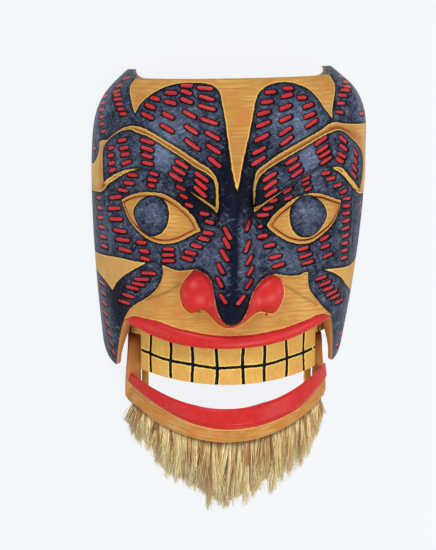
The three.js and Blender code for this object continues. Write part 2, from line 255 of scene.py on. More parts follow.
@dataclass(frozen=True)
class DashRow:
    """A row of short gouge cuts along a line, in millimetres and degrees.

    There is one cut at each place given, or else as many as counted, evenly spaced.
    """

    line: Points
    count: int
    tilt: Point
    length: Point
    width: float = 3.5
    shorter: float = 0.6
    least_half: float = 0.4
    slip_waves: Point = (7.3, 3.1)
    slip_turn: float = 3.0
    slip_long: float = 0.7

    def cuts(self) -> list[tuple[Array, Array]]:
        """Places the cuts, tilt and length changing evenly along the row, with a carver's small slips.

        Returns:
            The two ends of each cut.
        """
        path = curve(self.line)
        way = np.concatenate([[0.0], np.cumsum(np.linalg.norm(np.diff(path, axis=0), axis=1))])
        made = []
        for i in range(self.count):
            k = i / max(self.count - 1, 1)
            middle = np.array([np.interp(k * way[-1], way, path[:, axis]) for axis in (0, 1)])
            if self.count == len(self.line):
                middle = np.array(self.line[i], float)
            slip = math.sin(self.slip_waves[0] * middle[0] + self.slip_waves[1] * middle[1])
            turn = math.radians(self.tilt[0] + (self.tilt[1] - self.tilt[0]) * k + self.slip_turn * slip)
            long = self.length[0] + (self.length[1] - self.length[0]) * k
            half = (long - self.shorter + self.slip_long * slip) / 2
            reach = max(half, self.least_half) * np.array([math.cos(turn), math.sin(turn)])
            made.append((middle - reach, middle + reach))
        return made


# The bare wood of the forehead, between and beside the two painted lobes
FOREHEAD = Outline(
    [(-102, 160), (-104, 148), (-105.5, 141.5), (-94, 130), (-84, 119.5)],
    [(-84, 119.5), (-81, 127), (-73, 134), (-65, 138.5), (-56, 141.5), (-43, 143.5), (-32, 143.5),
     (-20, 142.5), (-14, 140), (-10, 136), (-8.5, 130), (-5.5, 113), (-3, 90), (-1, 72), (1, 58.5)],
    [(1, 58.5), (3, 72), (6, 89.5), (9.5, 106.5), (12, 118), (14.5, 128), (17.5, 134), (22, 138), (29, 141),
     (37, 142.5), (47, 142.5), (58.5, 140), (67.5, 135.5), (73, 129), (76.5, 122.5), (83.5, 113)],
    [(83.5, 113), (87, 121), (97, 131), (107, 139.5), (109, 148), (108, 160)],
)

# Each brow: the wooden bevel round it, and the painted plateau inside the bevel
RIBBONS = {
    Side.LEFT: Outline(
        [(-131, 96), (-123, 97.5), (-116, 98), (-109, 101.5), (-98.5, 106.5), (-90.5, 109), (-81.5, 110),
         (-72.5, 108.5), (-60.5, 104), (-47, 97), (-34.5, 89.5), (-23, 81.5), (-16, 76.5), (-12, 71),
         (-10, 65), (-9.5, 56), (-9.5, 46), (-10.5, 41.5)],
        [(-10.5, 41.5), (-13.5, 45), (-19, 49.5), (-26, 55), (-33, 61), (-40, 67), (-49, 73.5), (-57, 77.5),
         (-66, 79)],
        [(-66, 79), (-73, 76.5), (-88, 72.5), (-101, 67), (-112.5, 62), (-123, 56.5), (-133, 55.5),
         (-151, 55.5), (-166, 56)],
        [(-172, 64), (-166, 78)],
        [(-166, 78), (-150, 77.5), (-140, 80), (-133, 85.5), (-129.5, 92), (-131, 96)],
    ),
    Side.RIGHT: Outline(
        [(150, 106), (120, 107), (108.5, 107.5), (97, 108.5), (86.5, 110), (79.5, 109), (68, 104.5),
         (48, 96), (31, 87.5), (20, 80), (14, 74.5), (12.5, 69.5), (11.5, 59.5), (12, 49.5), (13, 41.5)],
        [(13, 41.5), (15, 43), (22.5, 48.5), (31, 54.5), (39, 60.2), (47, 66.2), (56, 71.2), (62, 74.4),
         (68, 77.5)],
        [(68, 77.5), (78.5, 74), (91, 68.5), (103, 60.5), (121, 52), (140, 49.5), (166, 49)],
        [(172, 60), (166, 76)],
        [(166, 76), (152, 80), (146, 86), (145, 94), (150, 106)],
    ),
}
BROWS = {
    Side.LEFT: Outline(
        [(-113, 64.5), (-113.5, 78), (-114, 90), (-112.5, 92.5), (-107.5, 98), (-99, 103), (-91, 106),
         (-83.5, 107), (-75, 105), (-62, 101), (-49, 94), (-37, 86.5), (-26, 78.5), (-17.5, 73),
         (-13.5, 68.5), (-12, 63), (-11.5, 52.5), (-11.5, 46.5)],
        [(-11.5, 46.5), (-15.5, 50), (-22.5, 55), (-29.5, 59.5), (-37, 63.5), (-49, 71.5), (-57, 75.5),
         (-70, 77)],
        [(-70, 77), (-82.5, 76), (-95, 72.5), (-103.5, 69), (-113, 64.5)],
    ),
    Side.RIGHT: Outline(
        [(116, 55), (119, 64), (120, 74), (118.5, 82.5), (112, 89), (101, 96), (92, 101.5), (84, 103.5),
         (78, 102.8), (66, 99.3), (45.5, 89.8), (29.5, 81.3), (19.5, 74.5), (15.8, 70.5), (14, 66),
         (13, 56), (13, 46.5)],
        [(13, 46.5), (17.5, 48.5), (23, 52.5), (30.5, 57.5), (39.5, 63), (50, 70), (61.5, 74.5), (72, 75)],
        [(72, 75), (85.5, 74.5), (93, 70), (103.5, 62.5), (116, 55)],
    ),
}
EYES = {
    Side.LEFT: Outline(
        [(-95, 51), (-86.5, 54.5), (-76, 57), (-64, 57.5), (-53.5, 56), (-43, 51), (-35, 45), (-28.5, 38.5),
         (-22.5, 28)],
        [(-22.5, 28), (-30.5, 24), (-38.5, 20), (-49, 17.5), (-59, 18), (-69, 21), (-80.5, 27.5),
         (-89.5, 36), (-93, 43.5), (-95, 51)],
    ),
    Side.RIGHT: Outline(
        [(23.5, 31), (29.5, 39), (37.5, 45.5), (46, 51), (53.5, 53.5), (63, 54.5), (74.5, 53), (84.5, 50),
         (94.5, 47)],
        [(94.5, 47), (94, 41), (90.5, 33), (83.5, 26), (74, 20.5), (63, 16), (51, 15.5), (41.5, 18),
         (32.5, 23), (26, 28), (23.5, 31)],
    ),
}
EYE_MIDDLES = {Side.LEFT: (-57.0, 40.0), Side.RIGHT: (54.0, 40.0)}
# Each iris by its middle and its two radii
IRISES = {Side.LEFT: (-63.0, 39.3, 16.8, 16.4), Side.RIGHT: (57.5, 36.7, 17.4, 16.9)}
CHEEKS = {
    Side.LEFT: Outline(
        [(-172, 6), (-152, 5.5), (-125, 5), (-98.5, 4.5), (-79, 2.5), (-68.5, 2)],
        [(-68.5, 2), (-81.5, -3.5), (-96, -10), (-105, -15), (-113.5, -22)],
        [(-113.5, -22), (-127.5, -15), (-145, -10.5), (-172, -6)],
    ),
    Side.RIGHT: Outline(
        [(158, 5), (149, -1.5), (140, -4), (124, -7), (102.5, -7.5), (78, -6.5)],
        [(78, -6.5), (94, -10.5), (109, -16), (121, -22), (141.5, -28.5)],
        [(141.5, -28.5), (149, -15), (158, 5)],
    ),
}

# The foot of the nose as a form: its right half, and the same mirrored
NOSE_SIDE = [
    (8, 84), (12, 60), (13, 42), (17, 15), (25, 1), (35, -8), (38, -20), (35, -31), (28, -38), (19, -37),
    (11, -43), (4, -48),
]
NOSE_FORM = Outline(NOSE_SIDE + [(-s, y) for s, y in reversed(NOSE_SIDE)] + [NOSE_SIDE[0]])

# The nose's black paint ends in this line, from the left cheek round the tip to the right one
NOSE_FOOT = [
    (-24.5, -2), (-19, -4), (-14.5, -8), (-12.5, -12.5), (-11, -20.5), (-9, -30.5), (-6.5, -38),
    (-3.5, -43.5), (0.5, -46), (3.5, -43), (6.5, -37.5), (9, -31.5), (10.5, -25), (13, -17.5), (16, -13),
    (20.5, -8), (25.5, -6.5),
]
MUZZLE = Outline(
    [(-53, 1), (-46, -2), (-38, -3.5), (-28, -2.5), (-24.5, -2)],
    NOSE_FOOT,
    [(25.5, -6.5), (29, -6.5), (39.5, -9), (51, -9.5), (61, -7)],
    [(61, -7), (62, -14), (64.5, -21), (71.5, -28), (80, -34.5), (88, -39.5), (97, -44)],
    [(99, -60), (0, -76), (-99, -60)],
    [(-96, -42.5), (-88.5, -35.5), (-80.5, -31), (-69, -26), (-60.5, -20), (-55, -13), (-52.5, -5),
     (-53, 1)],
)
NOSTRILS = Outline(
    [(-27, -2.5), (-32.5, -10.5), (-37.5, -19), (-36.5, -28), (-33.5, -33.5), (-28, -36.5), (-23.5, -35.5),
     (-20, -33.5), (-16.5, -35), (-13, -39.5), (-9, -44.5), (-5, -47.5), (0.5, -49), (6, -46.5),
     (12, -42.5), (17, -38), (20.5, -36.5), (26, -37.5), (30.5, -38.5), (34.5, -36.5), (37.5, -30.5),
     (39, -21), (35.5, -14), (30, -8.5), (26.5, -6.5)],
    [(20, -3), (0, -2), (-20, 1)],
)
LIP_TOP = [
    (-97, -44.5), (-90, -42.5), (-82.5, -40.5), (-70, -41.5), (-55.5, -44), (-42, -48), (-29.5, -50.5),
    (-17.5, -53), (-6.5, -54.5), (3, -55), (14, -54.5), (26, -53), (38.5, -51), (52, -48), (65.5, -44.5),
    (75, -42), (84, -42), (97, -46),
]
LIP = Outline(LIP_TOP, [(99, -60), (0, -80), (-99, -60)])
# Lines cut down the cheekbones, and soft folds beside the smile
CHEEKBONES = [
    Crease([(-119, 56.5), (-118, 42), (-116, 30), (-111, 18), (-105, 9)]),
    Crease([(116, 48), (117, 40), (120, 24), (122.5, 8.5)]),
]
SMILE_LINES = [Crease([(-35, -12), (-50, -21), (-67, -27)]), Crease([(38, -16), (54, -25), (72, -34)])]
# The two small holes under the nose, each by its middle and its radius
NOSE_HOLES = [(-22.0, -35.0, 1.3), (26.0, -38.5, 0.9)]

# Painted sheen on the black paint where light catches it, partly rubbed, and painted shade below zero:
# middle, radii and strength of each
SHEEN_AND_WEAR = (
    (0, 56, 17, 22, -0.5), (0, 8, 2.0, 40, -0.8), (2, -34, 11, 12, -0.9), (-26, 52, 12, 14, -1.0),
    (24, 45, 12, 14, -1.1), (0, 85, 10, 22, -0.6), (-118, 88, 12, 30, -0.2), (-92, 88, 26, 18, 0.3),
    (100, 80, 22, 20, 0.3), (-108, -28, 12, 20, -1.1), (-50, 92, 9, 14, 1.1), (-45, 112, 22, 14, 0.5),
    (48, 113, 20, 14, 0.7), (50, 84, 12, 12, 0.8), (-62, 42, 10, 9, 0.5), (57, 40, 10, 9, 0.6),
    (-140, 120, 18, 22, 0.5), (140, 118, 18, 22, 0.5), (-120, 25, 20, 20, 0.3), (-30, 5, 10, 16, 0.45),
    (10, 8, 7, 26, 0.4), (-10, 8, 7, 26, 0.4), (36, 0, 14, 12, 0.4), (60, 70, 10, 6, 0.5),
    (-143, -40, 16, 24, 0.3),
)
# Painted shade on the bare wood: the foot of the forehead's wedge, between the brows, and the outer
# corner of the right eye
SHADED_WOOD = ((0, 88, 14, 24, 0.26), (89, 40, 9, 11, 0.32))

# The rows of red cuts: line, count, tilts and lengths at its two ends, and width
DASHES = tuple(
    DashRow(*row) for row in (
        # left lobe of the forehead, from the middle outwards
        ([(-22.5, 139), (-20, 131.5), (-19, 124), (-17, 113.5), (-14.5, 102.5), (-13.5, 92), (-12.5, 81.5)],
         7, (-7, -40), (15, 14)),
        ([(-39, 141), (-38, 136), (-36.5, 129.5), (-32.5, 119), (-30, 107), (-29, 95.5)], 6, (-6, -38),
         (12, 15)),
        ([(-52, 135.5), (-50.5, 128), (-50.5, 118), (-50, 108)], 4, (-4, -29), (13, 14)),
        ([(-66.5, 131), (-69.5, 125), (-70, 117.5)], 3, (-12, -16), (12, 16)),
        # right lobe
        ([(28.5, 135), (24, 127.5), (20.5, 119), (19.5, 110.5), (18, 100), (16, 90), (15.5, 82)], 7,
         (4, 34), (12, 13)),
        ([(45.5, 137.5), (42.5, 132), (39, 123), (37.5, 114), (36.5, 104.5), (37, 97)], 6, (4, 35),
         (13, 14)),
        ([(56.5, 130), (60.5, 123.5), (60, 116), (60.5, 109.5)], 4, (4, 22), (12, 15)),
        # temples
        ([(-128, 146), (-130, 139), (-116, 130.5), (-99.5, 118.5)], 8, (6, 3), (17, 12), 3.0),
        ([(-151, 131), (-140, 120.5), (-125.5, 104)], 6, (5, 10), (18, 11), 3.2),
        ([(-146, 89.5)], 1, (3, 3), (11, 11), 3.0),
        ([(146, 144), (134, 138), (111.5, 130.5), (96.5, 117)], 7, (0, -3), (22, 14), 3.0),
        ([(149, 118), (135, 114)], 2, (6, -3), (14, 15), 3.0),
        # left brow, from the side to the nose
        ([(-103, 92), (-103, 86), (-101.5, 80), (-100, 74.5)], 4, (6, 18), (10, 11)),
        ([(-90, 98.5), (-87, 92.5), (-85.5, 87.5), (-84, 81)], 4, (9, 14), (12, 11)),
        ([(-64.5, 98), (-63.5, 81)], 4, (-15, -12), (14, 11)),
        ([(-35.5, 80.5), (-40, 70.5)], 3, (-33, -35), (13, 13)),
        ([(-21, 70.5), (-22, 59)], 3, (-41, -46), (13, 14)),
        # right brow, from the nose to the side
        ([(22.5, 69.5), (24, 57)], 3, (34, 36), (13, 12)),
        ([(39, 81.5), (43.5, 71.5)], 3, (28, 36), (12, 13)),
        ([(65, 96), (66, 89.5), (68.5, 85.5), (69.5, 80.5)], 4, (29, 24), (16, 14)),
        ([(89, 96), (89, 89.5), (87, 83.5), (84.5, 79.5)], 4, (-31, -23), (13, 11)),
        ([(106.5, 84.5), (106, 78.5), (104.5, 72.5), (104, 67)], 4, (-48, -32), (10, 13), 3.0),
        # round the left eye
        ([(-81, 71), (-85.5, 64.5), (-93, 58.5)], 3, (0, -3), (12, 13)),
        ([(-103, 52.5), (-106, 43.5), (-104, 35), (-99, 26), (-95.5, 19), (-92, 11)], 6, (3, -6), (17, 19)),
        ([(-60, 72.5), (-62, 67.5), (-64, 63)], 3, (-15, -5), (10, 9)),
        ([(-38, 61.5), (-36, 54.5), (-32, 47.5)], 3, (-27, -22), (9, 8)),
        ([(-19.5, 41), (-15.5, 34.5)], 2, (-9, -17), (9, 8.5)),
        ([(-16.5, 26), (-19.5, 21.5), (-25, 16), (-29.5, 10.5), (-32, 6)], 5, (-9, -13), (10, 12)),
        ([(-48, 13), (-48, 4)], 3, (1, -1), (12, 12), 3.2),
        ([(-74.5, 17.5), (-70.5, 11), (-69.5, 5)], 3, (-5, -8), (11, 12)),
        ([(-132.5, 50.5), (-131, 36), (-124, 12)], 6, (4, -1), (13, 19), 3.2),
        # round the right eye
        ([(73.5, 70), (79.5, 65.5), (89, 59.5), (97.5, 54)], 4, (4, 16), (12, 11)),
        ([(103.5, 48), (105, 35), (107, 17), (109, 0)], 9, (2, 4), (13, 15), 3.2),
        ([(54.5, 66.5), (56, 62.5), (59.5, 58)], 3, (22, 22), (8.5, 9), 3.0),
        ([(40, 57.5), (41.5, 51.5)], 2, (29, 21), (10, 9.5), 3.2),
        ([(28.5, 50), (24.5, 44), (20.5, 39)], 3, (13, -2), (9, 11)),
        ([(18.5, 30)], 1, (9, 9), (5, 5), 3.0),
        ([(20.5, 22.5), (26, 15), (31, 6), (34, -1)], 4, (8, 12), (10, 12)),
        ([(55.5, 11), (61, 0)], 3, (10, 11), (13, 14), 3.2),
        ([(78.5, 18), (78.5, 11.5), (83, 4)], 3, (17, 11), (12, 13), 3.2),
        ([(138, 42), (143, 35)], 2, (13, 18), (11, 13), 3.0),
        # the chevrons down the nose
        ([(-3.5, 27), (-4, 19.5), (-5, 10), (-7, -0.5), (-7.5, -11), (-5, -23.5)], 6, (-69, -62),
         (11.5, 10.5), 3.0),
        ([(8.5, 32), (8, 16), (9.5, 5.5), (10.5, -3), (9.5, -13), (4.5, -24.5)], 6, (73, 56), (10.5, 10),
         3.0),
        # cheek lobes, and the pointed flaps below them
        ([(-66.5, -6.5), (-74, -11.5), (-78, -15.5), (-85, -19), (-91, -25.5), (-97, -31)], 6, (0, -6),
         (16, 18), 3.2),
        ([(78, -13.5), (84, -18.5), (89.5, -23), (96, -27), (103, -30.5), (112, -35)], 6, (9, 9), (16, 20),
         3.2),
        ([(-138, -18.5), (-136, -42), (-125, -74)], 8, (-6, -24), (19, 11), 3.0),
        ([(152, -50), (140, -59), (132, -72)], 4, (-5, 7), (15, 14), 3.0),
    )
)


@dataclass(frozen=True)
class Arch:
    """The plain arch that the face is carved on, in millimetres, with the powers that bend it."""

    half_width: float = 111.0
    deep: float = 92.0
    quarter: float = 165.0
    temple_y: float = 76.0
    crown_high: float = 100.0
    crown_bends: Point = (2.5, 0.4)
    taper: float = 16.6
    taper_high: float = 160.0
    taper_bend: float = 1.66
    brow_y: float = 60.0
    dome_high: float = 130.0
    dome_bends: Point = (2.3, 0.5)
    section_bends: Point = (0.92, 0.95)
    lean_y: float = 100.0
    lean_high: float = 165.0
    lean_bend: float = 1.5
    tilt: float = 0.015

    def place(self, s: Array, y: Array, height: Array, inset: Array) -> Array:
        """Finds the place of points on the arch.

        Args:
            s: Way round the arch from its middle line.
            y: Way up.
            height: How far the point is lifted off the arch.
            inset: How much smaller the arch is there, on the inner side of the wall.

        Returns:
            One row of x, y and z for each point.
        """
        top = 1 - (np.clip(y - self.temple_y, 0, None) / self.crown_high) ** self.crown_bends[0]
        low = np.clip(self.temple_y - y, 0, None) / self.taper_high
        low = self.half_width - self.taper * low ** self.taper_bend
        wide = np.where(y > self.temple_y, self.half_width * top ** self.crown_bends[1], low) - inset
        dome = 1 - (np.clip(y - self.brow_y, 0, None) / self.dome_high) ** self.dome_bends[0]
        deep = self.deep * dome ** self.dome_bends[1] - inset
        turn = s / self.quarter * math.pi / 2
        sine, cosine = np.sin(turn), np.clip(np.cos(turn), 0, None)
        slope = np.hypot(sine * deep, cosine * wide)
        out = wide * np.sign(sine) * np.abs(sine) ** self.section_bends[0] + height * sine * deep / slope
        up = deep * cosine ** self.section_bends[1] + height * cosine * wide / slope
        aside = -LEAN * (np.clip(self.lean_y - y, 0, None) / self.lean_high) ** self.lean_bend
        return np.column_stack([out + aside, y + self.tilt * out, np.clip(up, 0, None)])


@dataclass(frozen=True)
class Carving:
    """Heights of everything carved on the face over the plain arch, in millimetres.

    A pair of numbers is where a form starts and where it is whole, or its height and its width.
    """

    brow_proud: float = 4.5
    bevel_least: float = 0.6
    bevel_foot: float = 0.02
    bevel_look: float = 1.2
    bevel_steep: Point = (0.05, 0.25)
    grain_above: Point = (0.3, 0.6)
    grain_below: Point = (0.35, 0.8)
    socket_deep: float = 6.0
    socket_radii: Point = (50.0, 32.0)
    socket_slope: Point = (0.45, 1.05)
    eye_proud: float = 8.0
    eye_crown: float = 17.0
    rim_high: float = 0.7
    rim_wide: float = 2.4
    rim_outer: Point = (-0.8, 0.3)
    rim_inner: Point = (-0.5, 0.3)
    groove: Point = (0.7, 0.55)
    groove_inside: float = 0.4
    groove_from: Point = (30.0, 62.0)
    groove_least: float = 0.25
    muzzle_proud: float = 3.0
    muzzle_edge: Point = (-1.0, 2.5)
    lip_proud: float = 3.4
    lip_round: float = 2.4
    lip_ends: Point = (82.0, 97.0)
    lip_edge_y: float = -65.3
    lip_curve: float = 0.00247
    nose_high: float = 31.0
    nose_top_y: float = 90.0
    nose_tip_y: float = -40.0
    nose_wide: Point = (8.0, 26.0)
    nose_bend: float = 0.9
    nose_edge: Point = (-1.0, 7.0)
    ridge_round: float = 2.2
    ridge_shares: Point = (0.6, 0.2)
    wing: tuple[float, float, float, float, float] = (23.0, -20.0, 16.0, 20.0, 19.0)
    fold: Point = (0.6, 1.3)
    cheek_cut: Point = (-0.7, 0.9)
    nose_hole_deep: float = 2.0
    dash_deep: float = 0.6
    dash_edge: Point = (-0.4, 0.9)
    plain_from: Point = (125.0, 158.0)

    def lip_edge(self, s: Array) -> Array:
        """Lower edge of the upper lip."""
        return self.lip_edge_y + self.lip_curve * s * s

    def lid_line(self, side: Side, s: Array) -> Array:
        """Share of the groove inside the lid's rim, which is deepest at the outer half of the eye."""
        return smooth(side.value * s, *self.groove_from) * (1 - self.groove_least) + self.groove_least

    def brow(self, side: Side, s: Array, y: Array) -> Array:
        """Finds the share of the brow's full height: 0 outside its bevel and 1 on its plateau.

        Args:
            side: Which brow.
            s: Places across.
            y: Places up.

        Returns:
            The shares.
        """
        bevel, top = RIBBONS[side].inside_by(s, y), BROWS[side].inside_by(s, y)
        slope = np.clip(bevel, 0, None) / np.clip(bevel - top, self.bevel_least, None)
        return np.where(top > 0, 1.0, np.clip(slope, 0, 1))

    def across_grain(self, side: Side, s: Array, y: Array) -> Array:
        """Finds where a brow's bevel is cut across the grain: near its plateau above, and off it below.

        Args:
            side: Which brow.
            s: Places across.
            y: Places up.

        Returns:
            Shares of end grain.
        """
        share = self.brow(side, s, y)
        fall = self.brow(side, s, y - self.bevel_look) - self.brow(side, s, y + self.bevel_look)
        above = smooth(fall, *self.bevel_steep) * smooth(share, *self.grain_above)
        below = smooth(-fall, *self.bevel_steep) * (1 - smooth(share, *self.grain_below))
        return (above + below) * (share > self.bevel_foot) * (share < WHOLE)

    def nose(self, s: Array, y: Array) -> Array:
        """Carves the nose: a ridge that rises to the tip, with a round wing on each side of it.

        Args:
            s: Places across.
            y: Places up.

        Returns:
            Its heights.
        """
        a = np.sqrt(s * s + self.ridge_round ** 2) - self.ridge_round
        climb = np.clip((self.nose_top_y - y) / (self.nose_top_y - self.nose_tip_y), 0, 1)
        across = np.minimum(a / (self.nose_wide[0] + (self.nose_wide[1] - self.nose_wide[0]) * climb), 1)
        straight, waved = self.ridge_shares
        section = straight * (1 - across) + waved + waved * np.cos(np.pi * across)
        ridge = self.nose_high * climb ** self.nose_bend * section
        middle_s, middle_y, radius_s, radius_y, high = self.wing
        reach = np.hypot((a - middle_s) / radius_s, (y - middle_y) / radius_y)
        wing = high * np.sqrt(np.clip(1 - reach * reach, 0, None))
        return np.cbrt(ridge ** 3 + wing ** 3) * smooth(NOSE_FORM.inside_by(s, y), *self.nose_edge)

    def lip(self, s: Array, y: Array) -> Array:
        """Carves the rolled upper lip, thinning to its corners.

        Args:
            s: Places across.
            y: Places up.

        Returns:
            Its heights.
        """
        low, high = self.lip_edge(s), np.interp(s, *np.array(LIP_TOP, float).T)
        across = np.clip((y - low) / np.clip(high - low, 1.0, None), 0, 1)
        fade = 1 - smooth(np.abs(s), *self.lip_ends)
        return self.lip_proud * fade * np.sqrt(np.clip(1 - np.abs(2 * across - 1) ** self.lip_round, 0, None))

    def eye(self, side: Side, s: Array, y: Array) -> Array:
        """Carves an eye: its socket, the ball in it and the thin rim of the lid round the ball.

        Args:
            side: Which eye.
            s: Places across.
            y: Places up.

        Returns:
            Its heights, below zero in the socket.
        """
        middle_s, middle_y = EYE_MIDDLES[side]
        reach = np.hypot((s - middle_s) / self.socket_radii[0], (y - middle_y) / self.socket_radii[1])
        socket = -self.socket_deep * (1 - smooth(reach, *self.socket_slope))
        inside = EYES[side].inside_by(s, y, self.eye_crown + 1)
        ball = self.eye_proud * (1 - (1 - np.clip(inside / self.eye_crown, 0, 1)) ** 2)
        inner = [self.rim_wide + way for way in self.rim_inner]
        rim = self.rim_high * smooth(inside, *self.rim_outer) * (1 - smooth(inside, *inner))
        groove = self.groove[0] * bell(inside - self.rim_wide - self.groove_inside, self.groove[1])
        return socket + ball + rim - groove * self.lid_line(side, s)

    def height(self, s: Array, y: Array, dashes: Array) -> Array:
        """Adds up all that is carved.

        Args:
            s: Places across.
            y: Places up.
            dashes: Distance inside the gouge cuts.

        Returns:
            Height over the arch at each place.
        """
        total = np.zeros(s.shape)
        for side in Side:
            half = s * side.value >= 0
            brow = self.brow(side, s[half], y[half])
            eye = self.eye(side, s[half], y[half]) * (1 - smooth(brow, 0, 1))
            total[half] = eye + self.brow_proud * brow
        mouth = np.maximum(MUZZLE.inside_by(s, y), LIP.inside_by(s, y))
        total += self.muzzle_proud * smooth(mouth, *self.muzzle_edge)
        total += self.nose(s, y) + self.lip(s, y)
        for lines, (high, wide) in ((SMILE_LINES, self.fold), (CHEEKBONES, self.cheek_cut)):
            for line in lines:
                total += high * bell(line.away_from(s, y), wide)
        for hole_s, hole_y, radius in NOSE_HOLES:
            total -= self.nose_hole_deep * bell(np.hypot(s - hole_s, y - hole_y), radius)
        total -= self.dash_deep * smooth(dashes, *self.dash_edge)
        return total * (1 - smooth(np.abs(s), *self.plain_from))


@dataclass(frozen=True)
class Painting:
    """The paint on the face, as distances in millimetres inside each painted area."""

    cut_share: float = 0.95
    cut_taper: float = 0.3
    cut_least: float = 0.3
    cut_reach: float = 6.0
    ribbon_slim: float = 0.25
    crease_wide: float = 0.9
    crease_shade: float = 1.0
    fold_shade: float = 0.4

    def dashes(self, s: Array, y: Array, aside: float = 0.0, slim: float = 0.0) -> Array:
        """Measures how far places lie inside the nearest gouge cut, which is widest in its middle.

        Args:
            s: Places across.
            y: Places up.
            aside: How far the shape is shifted up and to the left.
            slim: How much narrower and shorter it is.

        Returns:
            Millimetres, positive inside and negative outside.
        """
        result = np.full(s.shape, -self.cut_reach)
        s, y = s + aside, y - aside
        for row in DASHES:
            for a, b in row.cuts():
                middle, half = (a + b) / 2, max(math.dist(a, b) / 2 - slim, self.cut_least)
                near = np.hypot(s - middle[0], y - middle[1]) < half + self.cut_reach
                along = (b - a) / math.dist(a, b)
                far = (s[near] - middle[0]) * along[0] + (y[near] - middle[1]) * along[1]
                side = (y[near] - middle[1]) * along[0] - (s[near] - middle[0]) * along[1]
                share = np.clip(np.abs(far) / half, 0, 1)
                wide = (self.cut_share * row.width - slim) / 2 * (1 - self.cut_taper * share ** 4)
                beyond = np.clip(np.abs(far) - half + wide, 0, None)
                away = (beyond ** 3 + np.abs(side) ** 3) ** (1 / 3)
                result[near] = np.maximum(result[near], wide - away)
        return result

    def black(self, s: Array, y: Array) -> Array:
        """Measures how far places lie inside the black paint, which covers all that isn't bare wood.

        Args:
            s: Places across.
            y: Places up.

        Returns:
            Millimetres, positive inside and negative outside.
        """
        wood = np.maximum(FOREHEAD.inside_by(s, y), MUZZLE.inside_by(s, y))
        for side in Side:
            ribbon = np.minimum(RIBBONS[side].inside_by(s, y), -BROWS[side].inside_by(s, y))
            ribbon -= self.ribbon_slim
            across, up, radius_s, radius_y = IRISES[side]
            iris = (1 - np.hypot((s - across) / radius_s, (y - up) / radius_y)) * radius_y
            eye = np.minimum(EYES[side].inside_by(s, y), -iris)
            wood = np.maximum.reduce([wood, ribbon, eye, CHEEKS[side].inside_by(s, y)])
        return -wood

    def red(self, s: Array, y: Array, black: Array, dashes: Array) -> Array:
        """Measures how far places lie inside the red paint: the cuts, the upper lip and the nostrils."""
        nostrils = np.minimum(NOSTRILS.inside_by(s, y), -black)
        return np.maximum.reduce([dashes, nostrils, LIP.inside_by(s, y)])

    def shaded_creases(self, s: Array, y: Array) -> Array:
        """Finds the strength of the painted shade in narrow cuts and the nose holes.

        Args:
            s: Places across.
            y: Places up.

        Returns:
            Shares of one.
        """
        strength = np.zeros(s.shape)
        for lines, dark in ((CHEEKBONES, self.crease_shade), (SMILE_LINES, self.fold_shade)):
            for line in lines:
                strength = np.maximum(strength, dark * bell(line.away_from(s, y), self.crease_wide))
        for hole_s, hole_y, radius in NOSE_HOLES:
            strength = np.maximum(strength, bell(np.hypot(s - hole_s, y - hole_y), radius))
        return strength

    def clouds(self, s: Array, y: Array, table: Sequence[Sequence[float]]) -> Array:
        """Adds up soft clouds.

        Args:
            s: Places across.
            y: Places up.
            table: The middle, the two radii and the strength of each cloud.

        Returns:
            Their strength at each place.
        """
        total = np.zeros(s.shape)
        for middle_s, middle_y, radius_s, radius_y, strength in table:
            total += strength * np.exp(-((s - middle_s) / radius_s) ** 2 - ((y - middle_y) / radius_y) ** 2)
        return total


def largest(lines: dict[Side, Outline], s: Array, y: Array) -> Array:
    """Distance inside the nearer one of a pair of closed lines."""
    return np.maximum(*(lines[side].inside_by(s, y) for side in Side))


def once(things: Iterable) -> list:
    """Lists things in their order, each of them once."""
    return list(dict.fromkeys(things))


def of_kind(things: Iterable, kind: type) -> list:
    """Picks the corners, edges or faces out of what an operator gave back."""
    return [thing for thing in things if isinstance(thing, kind)]


def to_mesh(bm: BMesh, name: str) -> Mesh:
    """Turns a finished bmesh into a mesh.

    Args:
        bm: The bmesh, which is freed.
        name: The mesh's name.

    Returns:
        The mesh.
    """
    mesh = bpy.data.meshes.new(name)
    bm.to_mesh(mesh)
    bm.free()
    return mesh


def points_of(mesh: Mesh) -> Array:
    """Reads a mesh's places.

    Args:
        mesh: The mesh.

    Returns:
        One row of x, y and z for each.
    """
    flat = np.zeros(len(mesh.vertices) * 3)
    mesh.vertices.foreach_get("co", flat)
    return flat.reshape(-1, 3)


def set_points(mesh: Mesh, points: Array) -> None:
    """Moves a mesh's points to new places and turns its faces outwards.

    Args:
        mesh: The mesh.
        points: Their places in the mask's own millimetres, one row each.
    """
    mesh.vertices.foreach_set("co", ((points + SHIFT) * MM).ravel())
    bm = bmesh.new()
    bm.from_mesh(mesh)
    bmesh.ops.recalc_face_normals(bm, faces=bm.faces)
    bm.to_mesh(mesh)
    bm.free()


def set_values(mesh: Mesh, name: str, values: Array) -> None:
    """Adds an attribute to a mesh's points."""
    kind, field_name = ("FLOAT_VECTOR", "vector") if values.ndim > 1 else ("FLOAT", "value")
    mesh.attributes.new(name, kind, "POINT").data.foreach_set(field_name, values.ravel())


def show(name: str, data: bpy.types.ID) -> Piece:
    """Puts a mesh, a lamp or a camera into the scene.

    Args:
        name: The object's name.
        data: What it holds.

    Returns:
        The object.
    """
    made = bpy.data.objects.new(name, data)
    bpy.context.scene.collection.objects.link(made)
    return made


